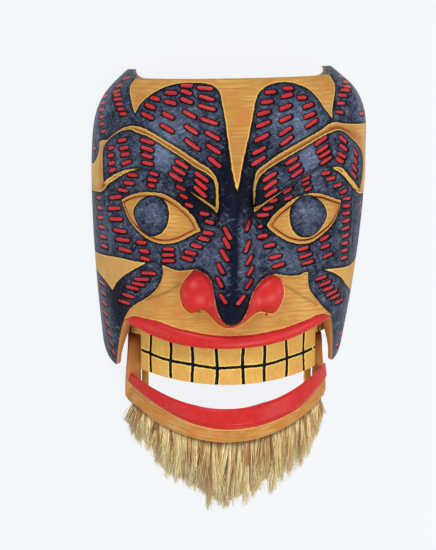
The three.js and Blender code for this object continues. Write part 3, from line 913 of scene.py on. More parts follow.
@dataclass(frozen=True)
class Slab:
    """An even sheet with a wall, its front finer than its back, ready to be bent into shape."""

    columns: int
    rows: int
    cuts: int = 2

    def build(self) -> BMesh:
        """Makes the sheet from -1 to 1 across and up, its back at 0 and its front at 1.

        Returns:
            The sheet.
        """
        bm = bmesh.new()
        bmesh.ops.create_grid(bm, x_segments=self.columns, y_segments=self.rows, size=1.0)
        raised = bmesh.ops.extrude_face_region(bm, geom=bm.faces[:], use_keep_orig=True)["geom"]
        bmesh.ops.translate(bm, verts=of_kind(raised, bmesh.types.BMVert), vec=(0, 0, 1))
        front = [e for e in bm.edges if all(v.co.z > 0.5 for v in e.verts)]
        bmesh.ops.subdivide_edges(bm, edges=front, cuts=self.cuts, use_grid_fill=True)
        bmesh.ops.triangulate(bm, faces=[f for f in bm.faces if len(f.verts) > 4])
        return bm


@dataclass(frozen=True)
class Board:
    """A flat board that stands across the mask, with a round hole and softened edges, in millimetres."""

    outline: Points
    middle: float
    thick: float
    soften: float = 0.6
    hole: Place = PIN_HOLE
    hole_sides: int = 32
    sharp: float = 0.5

    def add_to(self, bm: BMesh) -> None:
        """Cuts the board out and adds it.

        Args:
            bm: The piece that gets the board.
        """
        near = self.middle - self.thick / 2
        rim = [bm.verts.new((near, y, z)) for y, z in self.outline]
        edges = [bm.edges.new(pair) for pair in zip(rim, rim[1:] + rim[:1])]
        y, z, radius = self.hole
        stand = Matrix.Translation((near, y, z)) @ Matrix.Rotation(math.pi / 2, 4, "Y")
        circle = bmesh.ops.create_circle(bm, segments=self.hole_sides, radius=radius, matrix=stand)["verts"]
        edges += once(e for v in circle for e in v.link_edges)
        filled = bmesh.ops.triangle_fill(bm, use_beauty=True, edges=edges)["geom"]
        faces = of_kind(filled, bmesh.types.BMFace)
        raised = bmesh.ops.extrude_face_region(bm, geom=faces, use_keep_orig=True)["geom"]
        bmesh.ops.translate(bm, verts=of_kind(raised, bmesh.types.BMVert), vec=(self.thick, 0, 0))
        faces = [f for v in rim + circle for f in v.link_faces] + of_kind(raised, bmesh.types.BMFace)
        bmesh.ops.recalc_face_normals(bm, faces=once(faces))
        turning = [e for e in once(e for f in faces for e in f.edges) if e.calc_face_angle(0) > self.sharp]
        bmesh.ops.bevel(bm, geom=turning, offset=self.soften, segments=2, profile=0.5, affect="EDGES",
                        material=-1)


@dataclass(frozen=True)
class Strip:
    """A plain arched strip of wood, in millimetres and degrees."""

    half_width: float
    deep: float
    wall: float
    end_angle: float

    def place(self, turn: Array, y: Array, lift: Array, inset: Array) -> Array:
        """Finds the places of points by their way round in radians, their height, lift and inset."""
        x = (self.half_width - inset + lift) * np.sin(turn) - LEAN
        return np.column_stack([x, y, (self.deep - inset + lift) * np.cos(turn)])


class Carved:
    """A carved piece: its points, the paint on them and the way its grain runs, all by vertex."""

    def __init__(self, name: str, slab: Slab, *boards: Board) -> None:
        """Makes one piece of a slab and the boards on it.

        Args:
            name: The piece's name.
            slab: The sheet that is to be bent.
            boards: The boards, which are left where they are.
        """
        bm = slab.build()
        self.count = len(bm.verts)
        for board in boards:
            board.add_to(bm)
        self.mesh = to_mesh(bm, name)
        self.points = points_of(self.mesh)
        self.grain = self.points.copy()
        self.stains = {kind: np.full(len(self.points), OUTSIDE if kind in DISTANCES else 0.0)
                       for kind in Stain}

    def sheet(self) -> tuple[Array, Array, Array]:
        """Reads the slab: its points across from -1 to 1, up from 0 to 1, and which of them are in front."""
        flat = self.points[:self.count].copy()
        return flat[:, 0], (flat[:, 1] + 1) / 2, flat[:, 2] > 0.5

    def bend(self, points: Array, grain: Array) -> None:
        """Puts the slab's points in place, and lets the boards' grain run along them."""
        self.points[:self.count], self.grain[:self.count] = points, grain
        self.grain[self.count:] = self.points[self.count:][:, [1, 2, 0]]

    def mark(self, kind: Stain, slab: Union[Array, float], boards: Union[Array, float] = 0.0) -> None:
        """Sets one stain on the slab and on the boards."""
        self.stains[kind][:self.count], self.stains[kind][self.count:] = slab, boards

    def finish(self, sharp_angle: float = 42.0) -> Piece:
        """Writes the points and the paint into the mesh and makes its object.

        Args:
            sharp_angle: Edges that turn more than this are crisp, in degrees.

        Returns:
            The object, in metres.
        """
        set_points(self.mesh, self.points)
        for kind, values in self.stains.items():
            set_values(self.mesh, kind.value, values)
        set_values(self.mesh, GRAIN_WAY, self.grain * MM)
        self.mesh.shade_smooth()
        self.mesh.set_sharp_from_angle(angle=math.radians(sharp_angle))
        return show(self.mesh.name, self.mesh)


class Graph:
    """The node tree of one material while it is drawn."""

    def __init__(self, name: str) -> None:
        """Starts an empty material."""
        self.material = bpy.data.materials.new(name)
        self.material.use_nodes = True
        self.material.node_tree.nodes.clear()

    def add(self, kind: str, inputs: Optional[dict] = None, out: Union[int, str] = 0,
            **settings: object) -> Optional[Socket]:
        """Adds one node with its settings and links.

        Args:
            kind: The node's type, without the words that all types start with.
            inputs: For each input, by name or number, a value or the socket that feeds it.
            out: The output that is wanted, by name or number.
            settings: The node's own properties.

        Returns:
            That output, or nothing where the node has none.
        """
        tree = self.material.node_tree
        made = tree.nodes.new("ShaderNode" + kind)
        for key, value in settings.items():
            setattr(made, key, value)
        for key, value in (inputs or {}).items():
            if isinstance(value, Socket):
                tree.links.new(value, made.inputs[key])
            else:
                made.inputs[key].default_value = value
        return made.outputs[out] if made.outputs else None


@dataclass(frozen=True)
class Span:
    """A range of one value, and the most and the least that it is turned into."""

    low: float
    high: float
    most: float = 1.0
    least: float = 0.0

    def of(self, value: Socket) -> dict:
        """The inputs that turn a value."""
        return {"Value": value, "From Min": self.low, "From Max": self.high, "To Min": self.least,
                "To Max": self.most}


@dataclass(frozen=True)
class Mottle:
    """Soft random variation: its size in millimetres, and how fine, rough and warped it is."""

    size: float = 1 / MM
    detail: float = 2.0
    rough: float = 0.5
    warp: float = 0.0

    def of(self, way: Socket) -> dict:
        """The inputs that draw it over the places of a piece."""
        return {"Vector": way, "Scale": 1 / (self.size * MM), "Detail": self.detail, "Roughness": self.rough,
                "Distortion": self.warp}


@dataclass(frozen=True)
class PaintedWood:
    """Carved softwood, oiled and bare in places, with brushed black and red paint over the rest.

    The wood shows warm streaks along its grain and a dull shine, darker on end grain and in painted shade.
    The paint was brushed on thin: black with soft strokes and a painted bluish sheen, glints and shade,
    red even and a little glossy.
    Sizes are in millimetres and angles in radians.
    """

    name: str
    wood: str = "#c99c57"
    wood_dark: str = "#b5803e"
    wood_pale: str = "#e6b95c"
    cut: str = "#c38a52"
    # End grain, and painted shade on the jaw's arms and in two hollows of the face
    end: str = "#8c4c22"
    # Painted shade in the eye's incised grooves, the narrow cuts and the nose holes
    groove: str = "#3c190b"
    blotch: str = "#c4703a"
    ring: str = "#96642c"
    straw: str = "#ccb070"
    black: str = "#0d1120"
    # Painted sheen: the paler black where the paint catches the light, partly where it is rubbed
    black_pale: str = "#64718c"
    # Painted shade: the darkest black in and beside the gouge cuts, along the paint's edges and round the
    # irises
    black_in_shade: str = "#05060d"
    # Thin pale scratches that also stand for painted glints, laid only where the paint has its painted sheen
    scratch_glint: str = "#a7b2c2"
    red: str = "#c42421"
    red_deep: str = "#bc262a"
    # Thin red paint, and painted shade in the red's crease lines
    red_dark: str = "#7d1519"
    wood_rough: float = 0.55
    paint_rough: float = 0.42
    ior: float = 1.48
    shine: float = 0.06
    red_coat: float = 0.34
    coat_rough: float = 0.32
    relief: float = 0.5
    bump: float = 0.5

    # The wood: streaks this wide and long, rings this far apart, and where its stains start and are whole
    grain_step: float = 1.6
    grain_run: float = 18.0
    grain_in: float = 0.3
    streaks: Mottle = Mottle(detail=4.0, rough=0.6)
    clouds: Mottle = Mottle(22.222, 3.0)
    blotches: Mottle = Mottle(14.286, warp=0.5)
    ring_gap: float = 3.6
    ring_warp: float = 2.6
    spread: Span = Span(0.17, 0.37)
    blotched: Span = Span(0.52, 0.68, 0.5)
    ring_line: Span = Span(0.86, 1.0, 0.65)
    ring_here: Span = Span(0.44, 0.56)
    straw_share: float = 0.6
    cut_edge: Span = Span(0.97, 0.9)
    beside_paint: Span = Span(-0.9, -0.45, 0.85)
    lid_middle: float = 2.75
    lid_warm: Span = Span(2.3, 0.7, 0.75)
    lid_line: Span = Span(0.95, 0.35)
    lid_patchy: Span = Span(0.38, 0.55, 1.0, 0.65)

    # The paint: strokes this long and wide leaning two ways, rubbed places and painted sheen and shade,
    # and firm but uneven edges
    edge: Mottle = Mottle(3.0303)
    wander: Span = Span(0.0, 1.0, 0.55, -0.55)
    paint_edge: Span = Span(-0.18, 0.18)
    front_only: Span = Span(0.93, 0.99)
    rubbed: Mottle = Mottle(9.0, 4.0, 0.6, 0.5)
    stroke_long: float = 7.0
    stroke_wide: float = 1.4
    stroke_leans: Point = (0.6, -0.8)
    strokes: Mottle = Mottle(detail=4.0, rough=0.7, warp=0.8)
    stroke_share: float = 0.7
    sheen_and_wear_share: float = 0.18
    sheen: Span = Span(0.47, 0.78)
    scratch_wide: float = 1.0
    scratch_lean: float = 0.25
    scratches: Mottle = Mottle(detail=3.0, rough=0.8, warp=1.5)
    scratch_line: Span = Span(0.56, 0.66, 0.75)
    scratch_here: Span = Span(0.44, 0.64)
    # Where the painted shade lies: round the gouge cuts, and just inside the paint's edges
    dark_ring: Span = Span(-1.8, -0.1)
    dark_rim: Span = Span(3.2, 0.6, 0.8)
    red_wide: Span = Span(1.4, 2.4)
    red_thin: Span = Span(0.57, 0.44, 0.34)
    red_crease_shade: float = 0.7

    def build(self) -> Material:
        """Draws the finish as a material."""
        return WoodGraph(self).material


class WoodGraph(Graph):
    """The node tree of carved wood: the wood, the paints over it by their distances, and one bump for all."""

    def __init__(self, finish: PaintedWood) -> None:
        """Draws the whole tree.

        Args:
            finish: The values to draw it by.
        """
        super().__init__(finish.name)
        f = self.finish = finish
        self.marks = {kind: self.add("Attribute", out="Fac", attribute_name=kind.value) for kind in Stain}
        self.way = self.add("Attribute", out="Vector", attribute_name=GRAIN_WAY)
        along, step = 1 / (f.grain_run * MM), 1 / (f.grain_step * MM)
        grain = self.add("Mapping", {"Vector": self.way, "Scale": (along, step, step * f.grain_in)})
        self.streaks = self.add("TexNoise", f.streaks.of(grain))
        self.clouds = self.add("TexNoise", f.clouds.of(self.way))
        broad = self.add("TexNoise", f.rubbed.of(self.way))
        fine = [self.brushed(lean, f.stroke_wide, f.strokes) for lean in f.stroke_leans]
        crossed = self.add("Math", {0: fine[0], 1: fine[1]}, operation="MAXIMUM")
        self.strokes = self.add("Mix", {SHARE: f.stroke_share, NUMBER_A: broad, NUMBER_B: crossed})
        edge = self.add("TexNoise", f.edge.of(self.way))
        wander = self.add("MapRange", f.wander.of(edge))
        self.front = self.add("MapRange", f.front_only.of(self.marks[Stain.FRONT]))
        self.black_in, self.red_in = (
            self.add("Math", {0: self.marks[kind], 1: wander}, operation="ADD")
            for kind in (Stain.BLACK, Stain.RED))
        self.finish_with(self.bare_wood(), self.black_paint(), self.red_paint())

    def brushed(self, lean: float, wide: float, mottle: Mottle) -> Socket:
        """Draws long narrow marks that lean one way.

        Args:
            lean: Their turn from the grain's own way.
            wide: Their width.
            mottle: How they vary.

        Returns:
            The marks, around a half.
        """
        long = self.finish.stroke_long * MM
        settings = {"Vector": self.way, "Scale": (long, wide * MM, long), "Rotation": (0, 0, lean)}
        return self.add("TexNoise", mottle.of(self.add("Mapping", settings, vector_type="TEXTURE")))

    def bare_wood(self) -> Socket:
        """Draws the wood: streaks, clouds, dark end grain, painted shade in cuts and hollows, pale beside
        paint.

        Returns:
            Its colour.
        """
        f, marks = self.finish, self.marks
        mixed = self.add("Math", {0: self.streaks, 1: self.clouds}, operation="MULTIPLY")
        blotches = self.add("TexNoise", f.blotches.of(self.way))
        rings = self.add("TexWave", {
            "Vector": self.way, "Scale": WAVE_GAP / (f.ring_gap * MM), "Detail": 2.0, "Detail Scale": 0.5,
            "Distortion": f.ring_warp}, "Fac", bands_direction="Y")
        ring = self.add("MapRange", f.ring_line.of(rings))
        here = self.add("MapRange", f.ring_here.of(self.clouds))
        nearest = self.add("Math", {0: self.black_in, 1: self.red_in}, operation="MAXIMUM")
        beside = self.add("MapRange", f.beside_paint.of(nearest), **SOFT)
        dip = self.add("Math", {0: marks[Stain.LID], 1: f.lid_middle}, operation="SUBTRACT")
        dip = self.add("Math", {0: dip}, operation="ABSOLUTE")
        warm = self.add("MapRange", f.lid_warm.of(dip))
        line = self.add("MapRange", f.lid_line.of(dip), **SOFT)
        patchy = self.add("MapRange", f.lid_patchy.of(self.clouds))
        ring, straw, beside, warm, line = (
            self.add("Math", {0: share, 1: where}, operation="MULTIPLY")
            for share, where in ((ring, here), (marks[Stain.STRAW], f.straw_share), (beside, self.front),
                                 (warm, patchy), (line, patchy)))
        # Painted shade in the eye's incised groove and in the narrow cuts
        groove = self.add("Math", {0: line, 1: marks[Stain.CREASE]}, operation="MAXIMUM")
        colour = linear(f.wood_dark)
        for share, shade in (
                (self.add("MapRange", f.spread.of(mixed)), f.wood),
                (self.add("MapRange", f.blotched.of(blotches)), f.blotch), (ring, f.ring), (straw, f.straw),
                (self.add("MapRange", f.cut_edge.of(marks[Stain.FRONT])), f.cut),
                (marks[Stain.ENDGRAIN], f.end), (beside, f.wood_pale), (warm, f.blotch), (groove, f.groove)):
            colour = self.add("Mix", {SHARE: share, COLOUR_A: colour, COLOUR_B: linear(shade)}, **COLOURS)
        return colour

    def black_paint(self) -> Socket:
        """Draws the black paint: soft strokes, painted sheen and glints, and painted shade next to the cuts.

        Returns:
            Its colour.
        """
        f, marks = self.finish, self.marks
        sheen_and_wear = self.add("Math", {0: marks[Stain.WORN], 1: f.sheen_and_wear_share, 2: self.strokes},
                        operation="MULTIPLY_ADD")
        sheen = self.add("MapRange", f.sheen.of(sheen_and_wear))
        scratches = self.brushed(f.scratch_lean, f.scratch_wide, f.scratches)
        scratch = self.add("MapRange", f.scratch_line.of(scratches))
        here = self.add("MapRange", f.scratch_here.of(sheen_and_wear))
        scratch = self.add("Math", {0: scratch, 1: here}, operation="MULTIPLY")
        ring = self.add("MapRange", f.dark_ring.of(marks[Stain.GOUGE]), **SOFT)
        rim = self.add("MapRange", f.dark_rim.of(self.black_in), **SOFT)
        deep = self.add("Math", {0: ring, 1: rim}, operation="MAXIMUM")
        colour = linear(f.black)
        for share, shade in ((sheen, f.black_pale), (scratch, f.scratch_glint), (deep, f.black_in_shade)):
            colour = self.add("Mix", {SHARE: share, COLOUR_A: colour, COLOUR_B: linear(shade)}, **COLOURS)
        return colour

    def red_paint(self) -> Socket:
        """Draws the red paint: deeper in small cuts, darker where thin and in painted shade in crease lines.

        Returns:
            Its colour.
        """
        f = self.finish
        wide = self.add("MapRange", f.red_wide.of(self.red_in))
        thin = self.add("MapRange", f.red_thin.of(self.strokes))
        red_crease_shade = self.add("Math", {0: self.marks[Stain.CREASE], 1: f.red_crease_shade}, operation="MULTIPLY")
        dark = self.add("Math", {0: thin, 1: red_crease_shade}, operation="MAXIMUM")
        colour = linear(f.red_deep)
        for share, shade in ((wide, f.red), (dark, f.red_dark)):
            colour = self.add("Mix", {SHARE: share, COLOUR_A: colour, COLOUR_B: linear(shade)}, **COLOURS)
        return colour

    def finish_with(self, wood: Socket, black: Socket, red: Socket) -> None:
        """Lays the paints on the front of the wood, and ends the tree.

        Args:
            wood: Colour of the bare wood.
            black: Colour of the black paint.
            red: Colour of the red paint.
        """
        f = self.finish
        edges = [self.add("MapRange", f.paint_edge.of(inside)) for inside in (self.black_in, self.red_in)]
        on_black, on_red = (
            self.add("Math", {0: edge, 1: self.front}, operation="MULTIPLY") for edge in edges)
        colour = wood
        for share, paint in ((on_black, black), (on_red, red)):
            colour = self.add("Mix", {SHARE: share, COLOUR_A: colour, COLOUR_B: paint}, **COLOURS)
        painted = self.add("Math", {0: on_black, 1: on_red}, operation="MAXIMUM")
        rough = self.add("MapRange", Span(0.0, 1.0, f.paint_rough, f.wood_rough).of(painted))
        coat = self.add("Math", {0: on_red, 1: f.red_coat}, operation="MULTIPLY") if f.red_coat else 0.0
        height = self.add("Mix", {SHARE: painted, NUMBER_A: self.streaks, NUMBER_B: self.strokes})
        bump = self.add("Bump", {"Height": height, "Strength": f.bump, "Distance": f.relief * MM})
        shader = self.add("BsdfPrincipled", {
            "Base Color": colour, "Roughness": rough, "IOR": f.ior, "Specular IOR Level": f.shine,
            "Coat Weight": coat, "Coat Roughness": f.coat_rough, "Normal": bump})
        self.add("OutputMaterial", {"Surface": shader})


@dataclass(frozen=True)
class PegWood:
    """Dark hardwood of whittled hinge pegs: fine close streaks along the peg and a waxy shine."""

    name: str = "whittled_hardwood"
    pale: str = "#7d5532"
    dark: str = "#4c3019"
    streak: float = 0.7
    stretch: float = 14.0
    mottle: Mottle = Mottle(detail=3.0)
    rough: float = 0.45
    ior: float = 1.5
    relief: float = 0.2
    bump: float = 0.3

    def build(self) -> Material:
        """Draws streaks along X, as the pegs were split along the grain.

        Returns:
            The material.
        """
        g = Graph(self.name)
        at = g.add("TexCoord", out="Object")
        across = 1 / (self.streak * MM)
        way = g.add("Mapping", {"Vector": at, "Scale": (across / self.stretch, across, across)})
        streaks = g.add("TexNoise", self.mottle.of(way))
        shades = {COLOUR_A: linear(self.dark), COLOUR_B: linear(self.pale)}
        colour = g.add("Mix", {SHARE: streaks, **shades}, **COLOURS)
        bump = g.add("Bump", {"Height": streaks, "Strength": self.bump, "Distance": self.relief * MM})
        shader = g.add("BsdfPrincipled", {"Base Color": colour, "Roughness": self.rough, "IOR": self.ior,
                                          "Normal": bump})
        g.add("OutputMaterial", {"Surface": shader})
        return g.material


@dataclass(frozen=True)
class Horsehair:
    """Pale horsehair: coarse dry strands, some tan and some brown, bleached towards their tips."""

    name: str = "pale_horsehair"
    shades: tuple[str, ...] = ("#8d5d33", "#c08b4c", "#dabb76", "#f8e9b2")
    tip: str = "#efe4b0"
    root: str = "#5e4226"
    bleached: Span = Span(0.5, 1.0, 0.6)
    shaded: Span = Span(0.2, 0.05, 0.7)
    rough: float = 0.5
    ior: float = 1.55

    def build(self) -> Material:
        """Draws a shade for each strand, darker at the root and paler at the tip.

        Returns:
            The material.
        """
        g = Graph(self.name)
        tone, way = (g.add("Attribute", out="Fac", attribute_name=name) for name in (STRAND_TONE, STRAND_WAY))
        colour = g.add("ValToRGB", {"Fac": tone})
        stops = colour.node.color_ramp.elements
        for i, shade in enumerate(self.shades):
            place = i / (len(self.shades) - 1)
            stop = stops[i] if i < len(stops) else stops.new(place)
            stop.position, stop.color = place, linear(shade)
        for span, shade in ((self.bleached, self.tip), (self.shaded, self.root)):
            share = g.add("MapRange", span.of(way))
            colour = g.add("Mix", {SHARE: share, COLOUR_A: colour, COLOUR_B: linear(shade)}, **COLOURS)
        shader = g.add("BsdfPrincipled", {"Base Color": colour, "Roughness": self.rough, "IOR": self.ior})
        g.add("OutputMaterial", {"Surface": shader})
        return g.material


@dataclass
class FaceShell:
    """The carved and painted face, from the crown to the tips of the side flaps, in millimetres.

    A pair of numbers is where a change starts and where it is whole, or the left and the right side.
    """

    arch: Arch = field(default_factory=Arch)
    carving: Carving = field(default_factory=Carving)
    painting: Painting = field(default_factory=Painting)
    slab: Slab = Slab(110, 82)
    even_share: float = 0.64
    wall: float = 9.0
    tip_wall: float = 3.5
    thin_down: Point = (44.0, 78.0)
    thin_aside: Point = (90.0, 106.0)
    mouth_corner_s: float = 93.0
    flap_corner: Point = (99.5, -46.0)
    flap_tip: Point = (120.0, -83.0)
    flap_rear_y: float = -66.0
    flap_bends: Point = (1.15, 1.4)
    crown_y: float = 146.0
    crown_rise: float = 6.0
    crown_from_s: float = 100.0
    corner_slims: Point = (2.2, 1.2)
    slim_up: Point = (118.0, 152.0)
    slim_aside: Point = (108.0, 135.0)
    slim_bend: float = 1.5
    shoulders: Point = (1.6, 4.0)
    shoulder_up: Point = (84.0, 124.0)
    shoulder_top: Point = (132.0, 153.0)
    shoulder_aside: Point = (104.0, 132.0)
    rear_grain: float = -20.0
    patch_edge: float = -0.9
    patch_straw: float = 0.4
    end_straw: float = 0.85
    end_aside: Point = (118.0, 132.0)
    end_up: Point = (44.0, 52.0)
    flap_grain: Point = (40.0, 50.0)
    cut_inset: Point = (0.25, 0.55)
    sheen_and_wear_limits: Point = (-1.5, 1.2)
    rear_corner_s: float = 105.0
    rear_stripes: Point = (-7.0, 6.0)

    def lower_edge(self, s: Array) -> Array:
        """Draws the lip, then the slanting front of a flap, its tip and its rear corner.

        Args:
            s: Places across.

        Returns:
            The edge's y at each of them.
        """
        a = np.abs(s)
        corner_s, corner_y = self.flap_corner
        tip_s, tip_y = self.flap_tip
        lip_end = self.carving.lip_edge(np.array(self.mouth_corner_s))
        step = np.interp(a, [self.mouth_corner_s, corner_s], [lip_end, corner_y])
        forward = np.clip((a - corner_s) / (tip_s - corner_s), 0, 1) ** self.flap_bends[0]
        back = np.clip((a - tip_s) / (self.arch.quarter - tip_s), 0, 1) ** self.flap_bends[1]
        slant = corner_y + (tip_y - corner_y) * forward
        rear = tip_y + (self.flap_rear_y - tip_y) * back
        edges = [self.carving.lip_edge(s), step, slant]
        return np.select([a < self.mouth_corner_s, a < corner_s, a < tip_s], edges, rear)

    def corners(self, s: Array, y: Array) -> Array:
        """Shapes the crown's two corners: fuller at the temples and slimmer at the top.

        Args:
            s: Places across.
            y: Places up.

        Returns:
            How far the front stands out more than the arch.
        """
        a = np.abs(s)
        slim, full = (np.where(s < 0, *pair) for pair in (self.corner_slims, self.shoulders))
        slim = slim * smooth(y, *self.slim_up) ** self.slim_bend * smooth(a, *self.slim_aside)
        full = full * smooth(y, *self.shoulder_up) * (1 - smooth(y, *self.shoulder_top))
        return full * smooth(a, *self.shoulder_aside) - slim

    def stain(self, work: Carved, s: Array, y: Array, dashes: Array, upright: Array) -> None:
        """Marks the paint, the stains, and the painted sheen and shade on the front.

        Args:
            work: The piece.
            s: Places across, of the front alone.
            y: Places up.
            dashes: Distance inside the gouge cuts.
            upright: Where the grain runs up and down.
        """
        front, painting = work.sheet()[2], self.painting
        black = painting.black(s, y)
        across = sum(self.carving.across_grain(side, s, y) for side in Side)
        ends = self.end_straw * smooth(np.abs(s), *self.end_aside) * smooth(y, *self.end_up)
        for kind, values in {
                Stain.BLACK: black,
                Stain.RED: painting.red(s, y, black, painting.dashes(s, y, *self.cut_inset)),
                Stain.GOUGE: dashes,
                Stain.LID: largest(EYES, s, y),
                Stain.STRAW: np.maximum(self.patch_straw * upright, ends),
                Stain.CREASE: painting.shaded_creases(s, y),
                # Painted sheen on the black paint, partly rubbed places, and painted shade below zero
                Stain.WORN: np.clip(painting.clouds(s, y, SHEEN_AND_WEAR), *self.sheen_and_wear_limits),
                # End grain across the brows, and painted shade in two hollows
                Stain.ENDGRAIN: np.maximum(across, painting.clouds(s, y, SHADED_WOOD))}.items():
            work.stains[kind][front] = values

    def build(self) -> Piece:
        """Bends the slab to the arch, carves it and marks the paint.

        Returns:
            The face.
        """
        work = Carved("carved_face", self.slab)
        u, v, front = work.sheet()
        s = self.arch.quarter * (self.even_share * u + (1 - self.even_share) * u ** 3)
        low = self.lower_edge(s)
        rise = self.crown_rise * smooth(np.abs(s), self.crown_from_s, self.arch.quarter)
        y = low + (self.crown_y + rise - low) * v
        thin = smooth(-y, *self.thin_down) * smooth(np.abs(s), *self.thin_aside)
        inset = np.where(front, 0.0, self.wall + (self.tip_wall - self.wall) * thin)
        fs, fy = s[front], y[front]
        dashes = self.painting.dashes(fs, fy)
        height = np.zeros(s.shape)
        height[front] = self.carving.height(fs, fy, dashes) + self.corners(fs, fy)
        upright = front.copy()
        upright[front] = largest(CHEEKS, fs, fy) > self.patch_edge
        work.grain = np.column_stack([np.where(upright, y, s), np.where(upright, s, y),
                                      np.where(front, height, self.rear_grain)])
        work.stains[Stain.ENDGRAIN][:] = smooth(-y, *self.flap_grain)
        self.stain(work, fs, fy, dashes, upright[front])
        # The crown's rear corners have short dark stripes, one column of the slab wide
        corner = ~front & (v > WHOLE) & (np.abs(s) > self.rear_corner_s)
        column = np.rint((u + 1) / 2 * self.slab.columns).astype(int)
        work.stains[Stain.BLACK][corner] = np.take(self.rear_stripes, column[corner] % 2)
        work.stains[Stain.FRONT] = np.where(corner, 1.0, front)
        work.points = self.arch.place(s, y, height, inset)
        return work.finish()


@dataclass
class TeethBand:
    """The band of wooden teeth behind the upper lip, with two ears that carry the hinge, in millimetres."""

    strip: Strip = Strip(84.0, 82.0, 6.0, 77.0)
    slab: Slab = Slab(120, 22)
    top_y: float = -50.0
    foot_y: float = -95.7
    foot_curve: float = 0.0019
    notch_x: Point = (68.0, 72.0)
    notch_y: float = -59.0
    notch_column: int = 53
    notch_turn: float = 0.004
    line_angles: tuple[float, ...] = (-65.6, -46.3, -32.5, -19.7, -6.2, 8.0, 20.2, 34.3, 47.4, 64.5)
    line_wide: float = 2.7
    line_sway: float = 0.35
    middle_y: float = -82.0
    middle_curve: float = 0.00225
    middle_slim: float = 0.12
    groove_deep: float = 0.7
    groove_edge: Point = (0.3, 1.8)
    sway_across: float = 0.16
    sway_up: float = 0.21
    sway_step: float = 1.7
    ear_x: Point = (-63.7, 67.9)
    ear_thick: float = 5.2
    ear: Points = ((-52, 10), (-52, 45), (-79, 45), (-86, 20), (-106, 20), (-106, 10))
    # Painted light: the ears count as lying just beside black paint, which makes them pale though they sit in
    # shade
    ear_painted_light: float = -0.45

    def gap(self, x: Array, y: Array, round_way: Array) -> Array:
        """Measures how far places lie from the nearest line between teeth, which sways as a hand draws it.

        Args:
            x: Places across.
            y: Places up.
            round_way: Places round the band.

        Returns:
            Millimetres.
        """
        middle = self.middle_y + self.middle_curve * x * x + self.line_sway * np.sin(x * self.sway_across)
        gap = np.abs(y - middle) + self.middle_slim
        for k, angle in enumerate(self.line_angles):
            sway = self.line_sway * np.sin(y * self.sway_up + k * self.sway_step)
            gap = np.minimum(gap, np.abs(round_way - math.radians(angle) * self.strip.deep - sway))
        return gap

    def build(self) -> Piece:
        """Bends the band, cuts the lines between the teeth and adds the ears.

        Returns:
            The band.
        """
        ears = (Board(self.ear, x - LEAN, self.ear_thick) for x in self.ear_x)
        work = Carved("carved_teeth", self.slab, *ears)
        u, v, front = work.sheet()
        half = self.slab.columns / 2
        end = math.radians(self.strip.end_angle)
        left, right = (math.asin(x / self.strip.half_width) for x in self.notch_x)
        share, step = self.notch_column / half, 1 / half
        turn = np.interp(u, [-1, -share - step, -share, share, share + step, 1],
                         [-end, -left - self.notch_turn, -left, right, right + self.notch_turn, end])
        x = self.strip.half_width * np.sin(turn)
        within = np.abs(u) * half < self.notch_column + 0.5
        low = np.where(within, self.foot_y + self.foot_curve * x * x, self.notch_y)
        y = low + (self.top_y - low) * v
        round_way = turn * self.strip.deep
        gap = self.gap(x, y, round_way)
        lift = np.where(front, -self.groove_deep * (1 - smooth(gap, *self.groove_edge)), 0.0)
        placed = self.strip.place(turn, y, lift, np.where(front, 0.0, self.strip.wall))
        work.bend(placed, np.column_stack([y, round_way, lift]))
        # The ears take the front's wood and the pale edge beside paint: painted light on ears that lie in
        # shade
        work.mark(Stain.BLACK, np.where(front, self.line_wide / 2 - gap, OUTSIDE), self.ear_painted_light)
        work.mark(Stain.FRONT, front, 1.0)
        return work.finish()


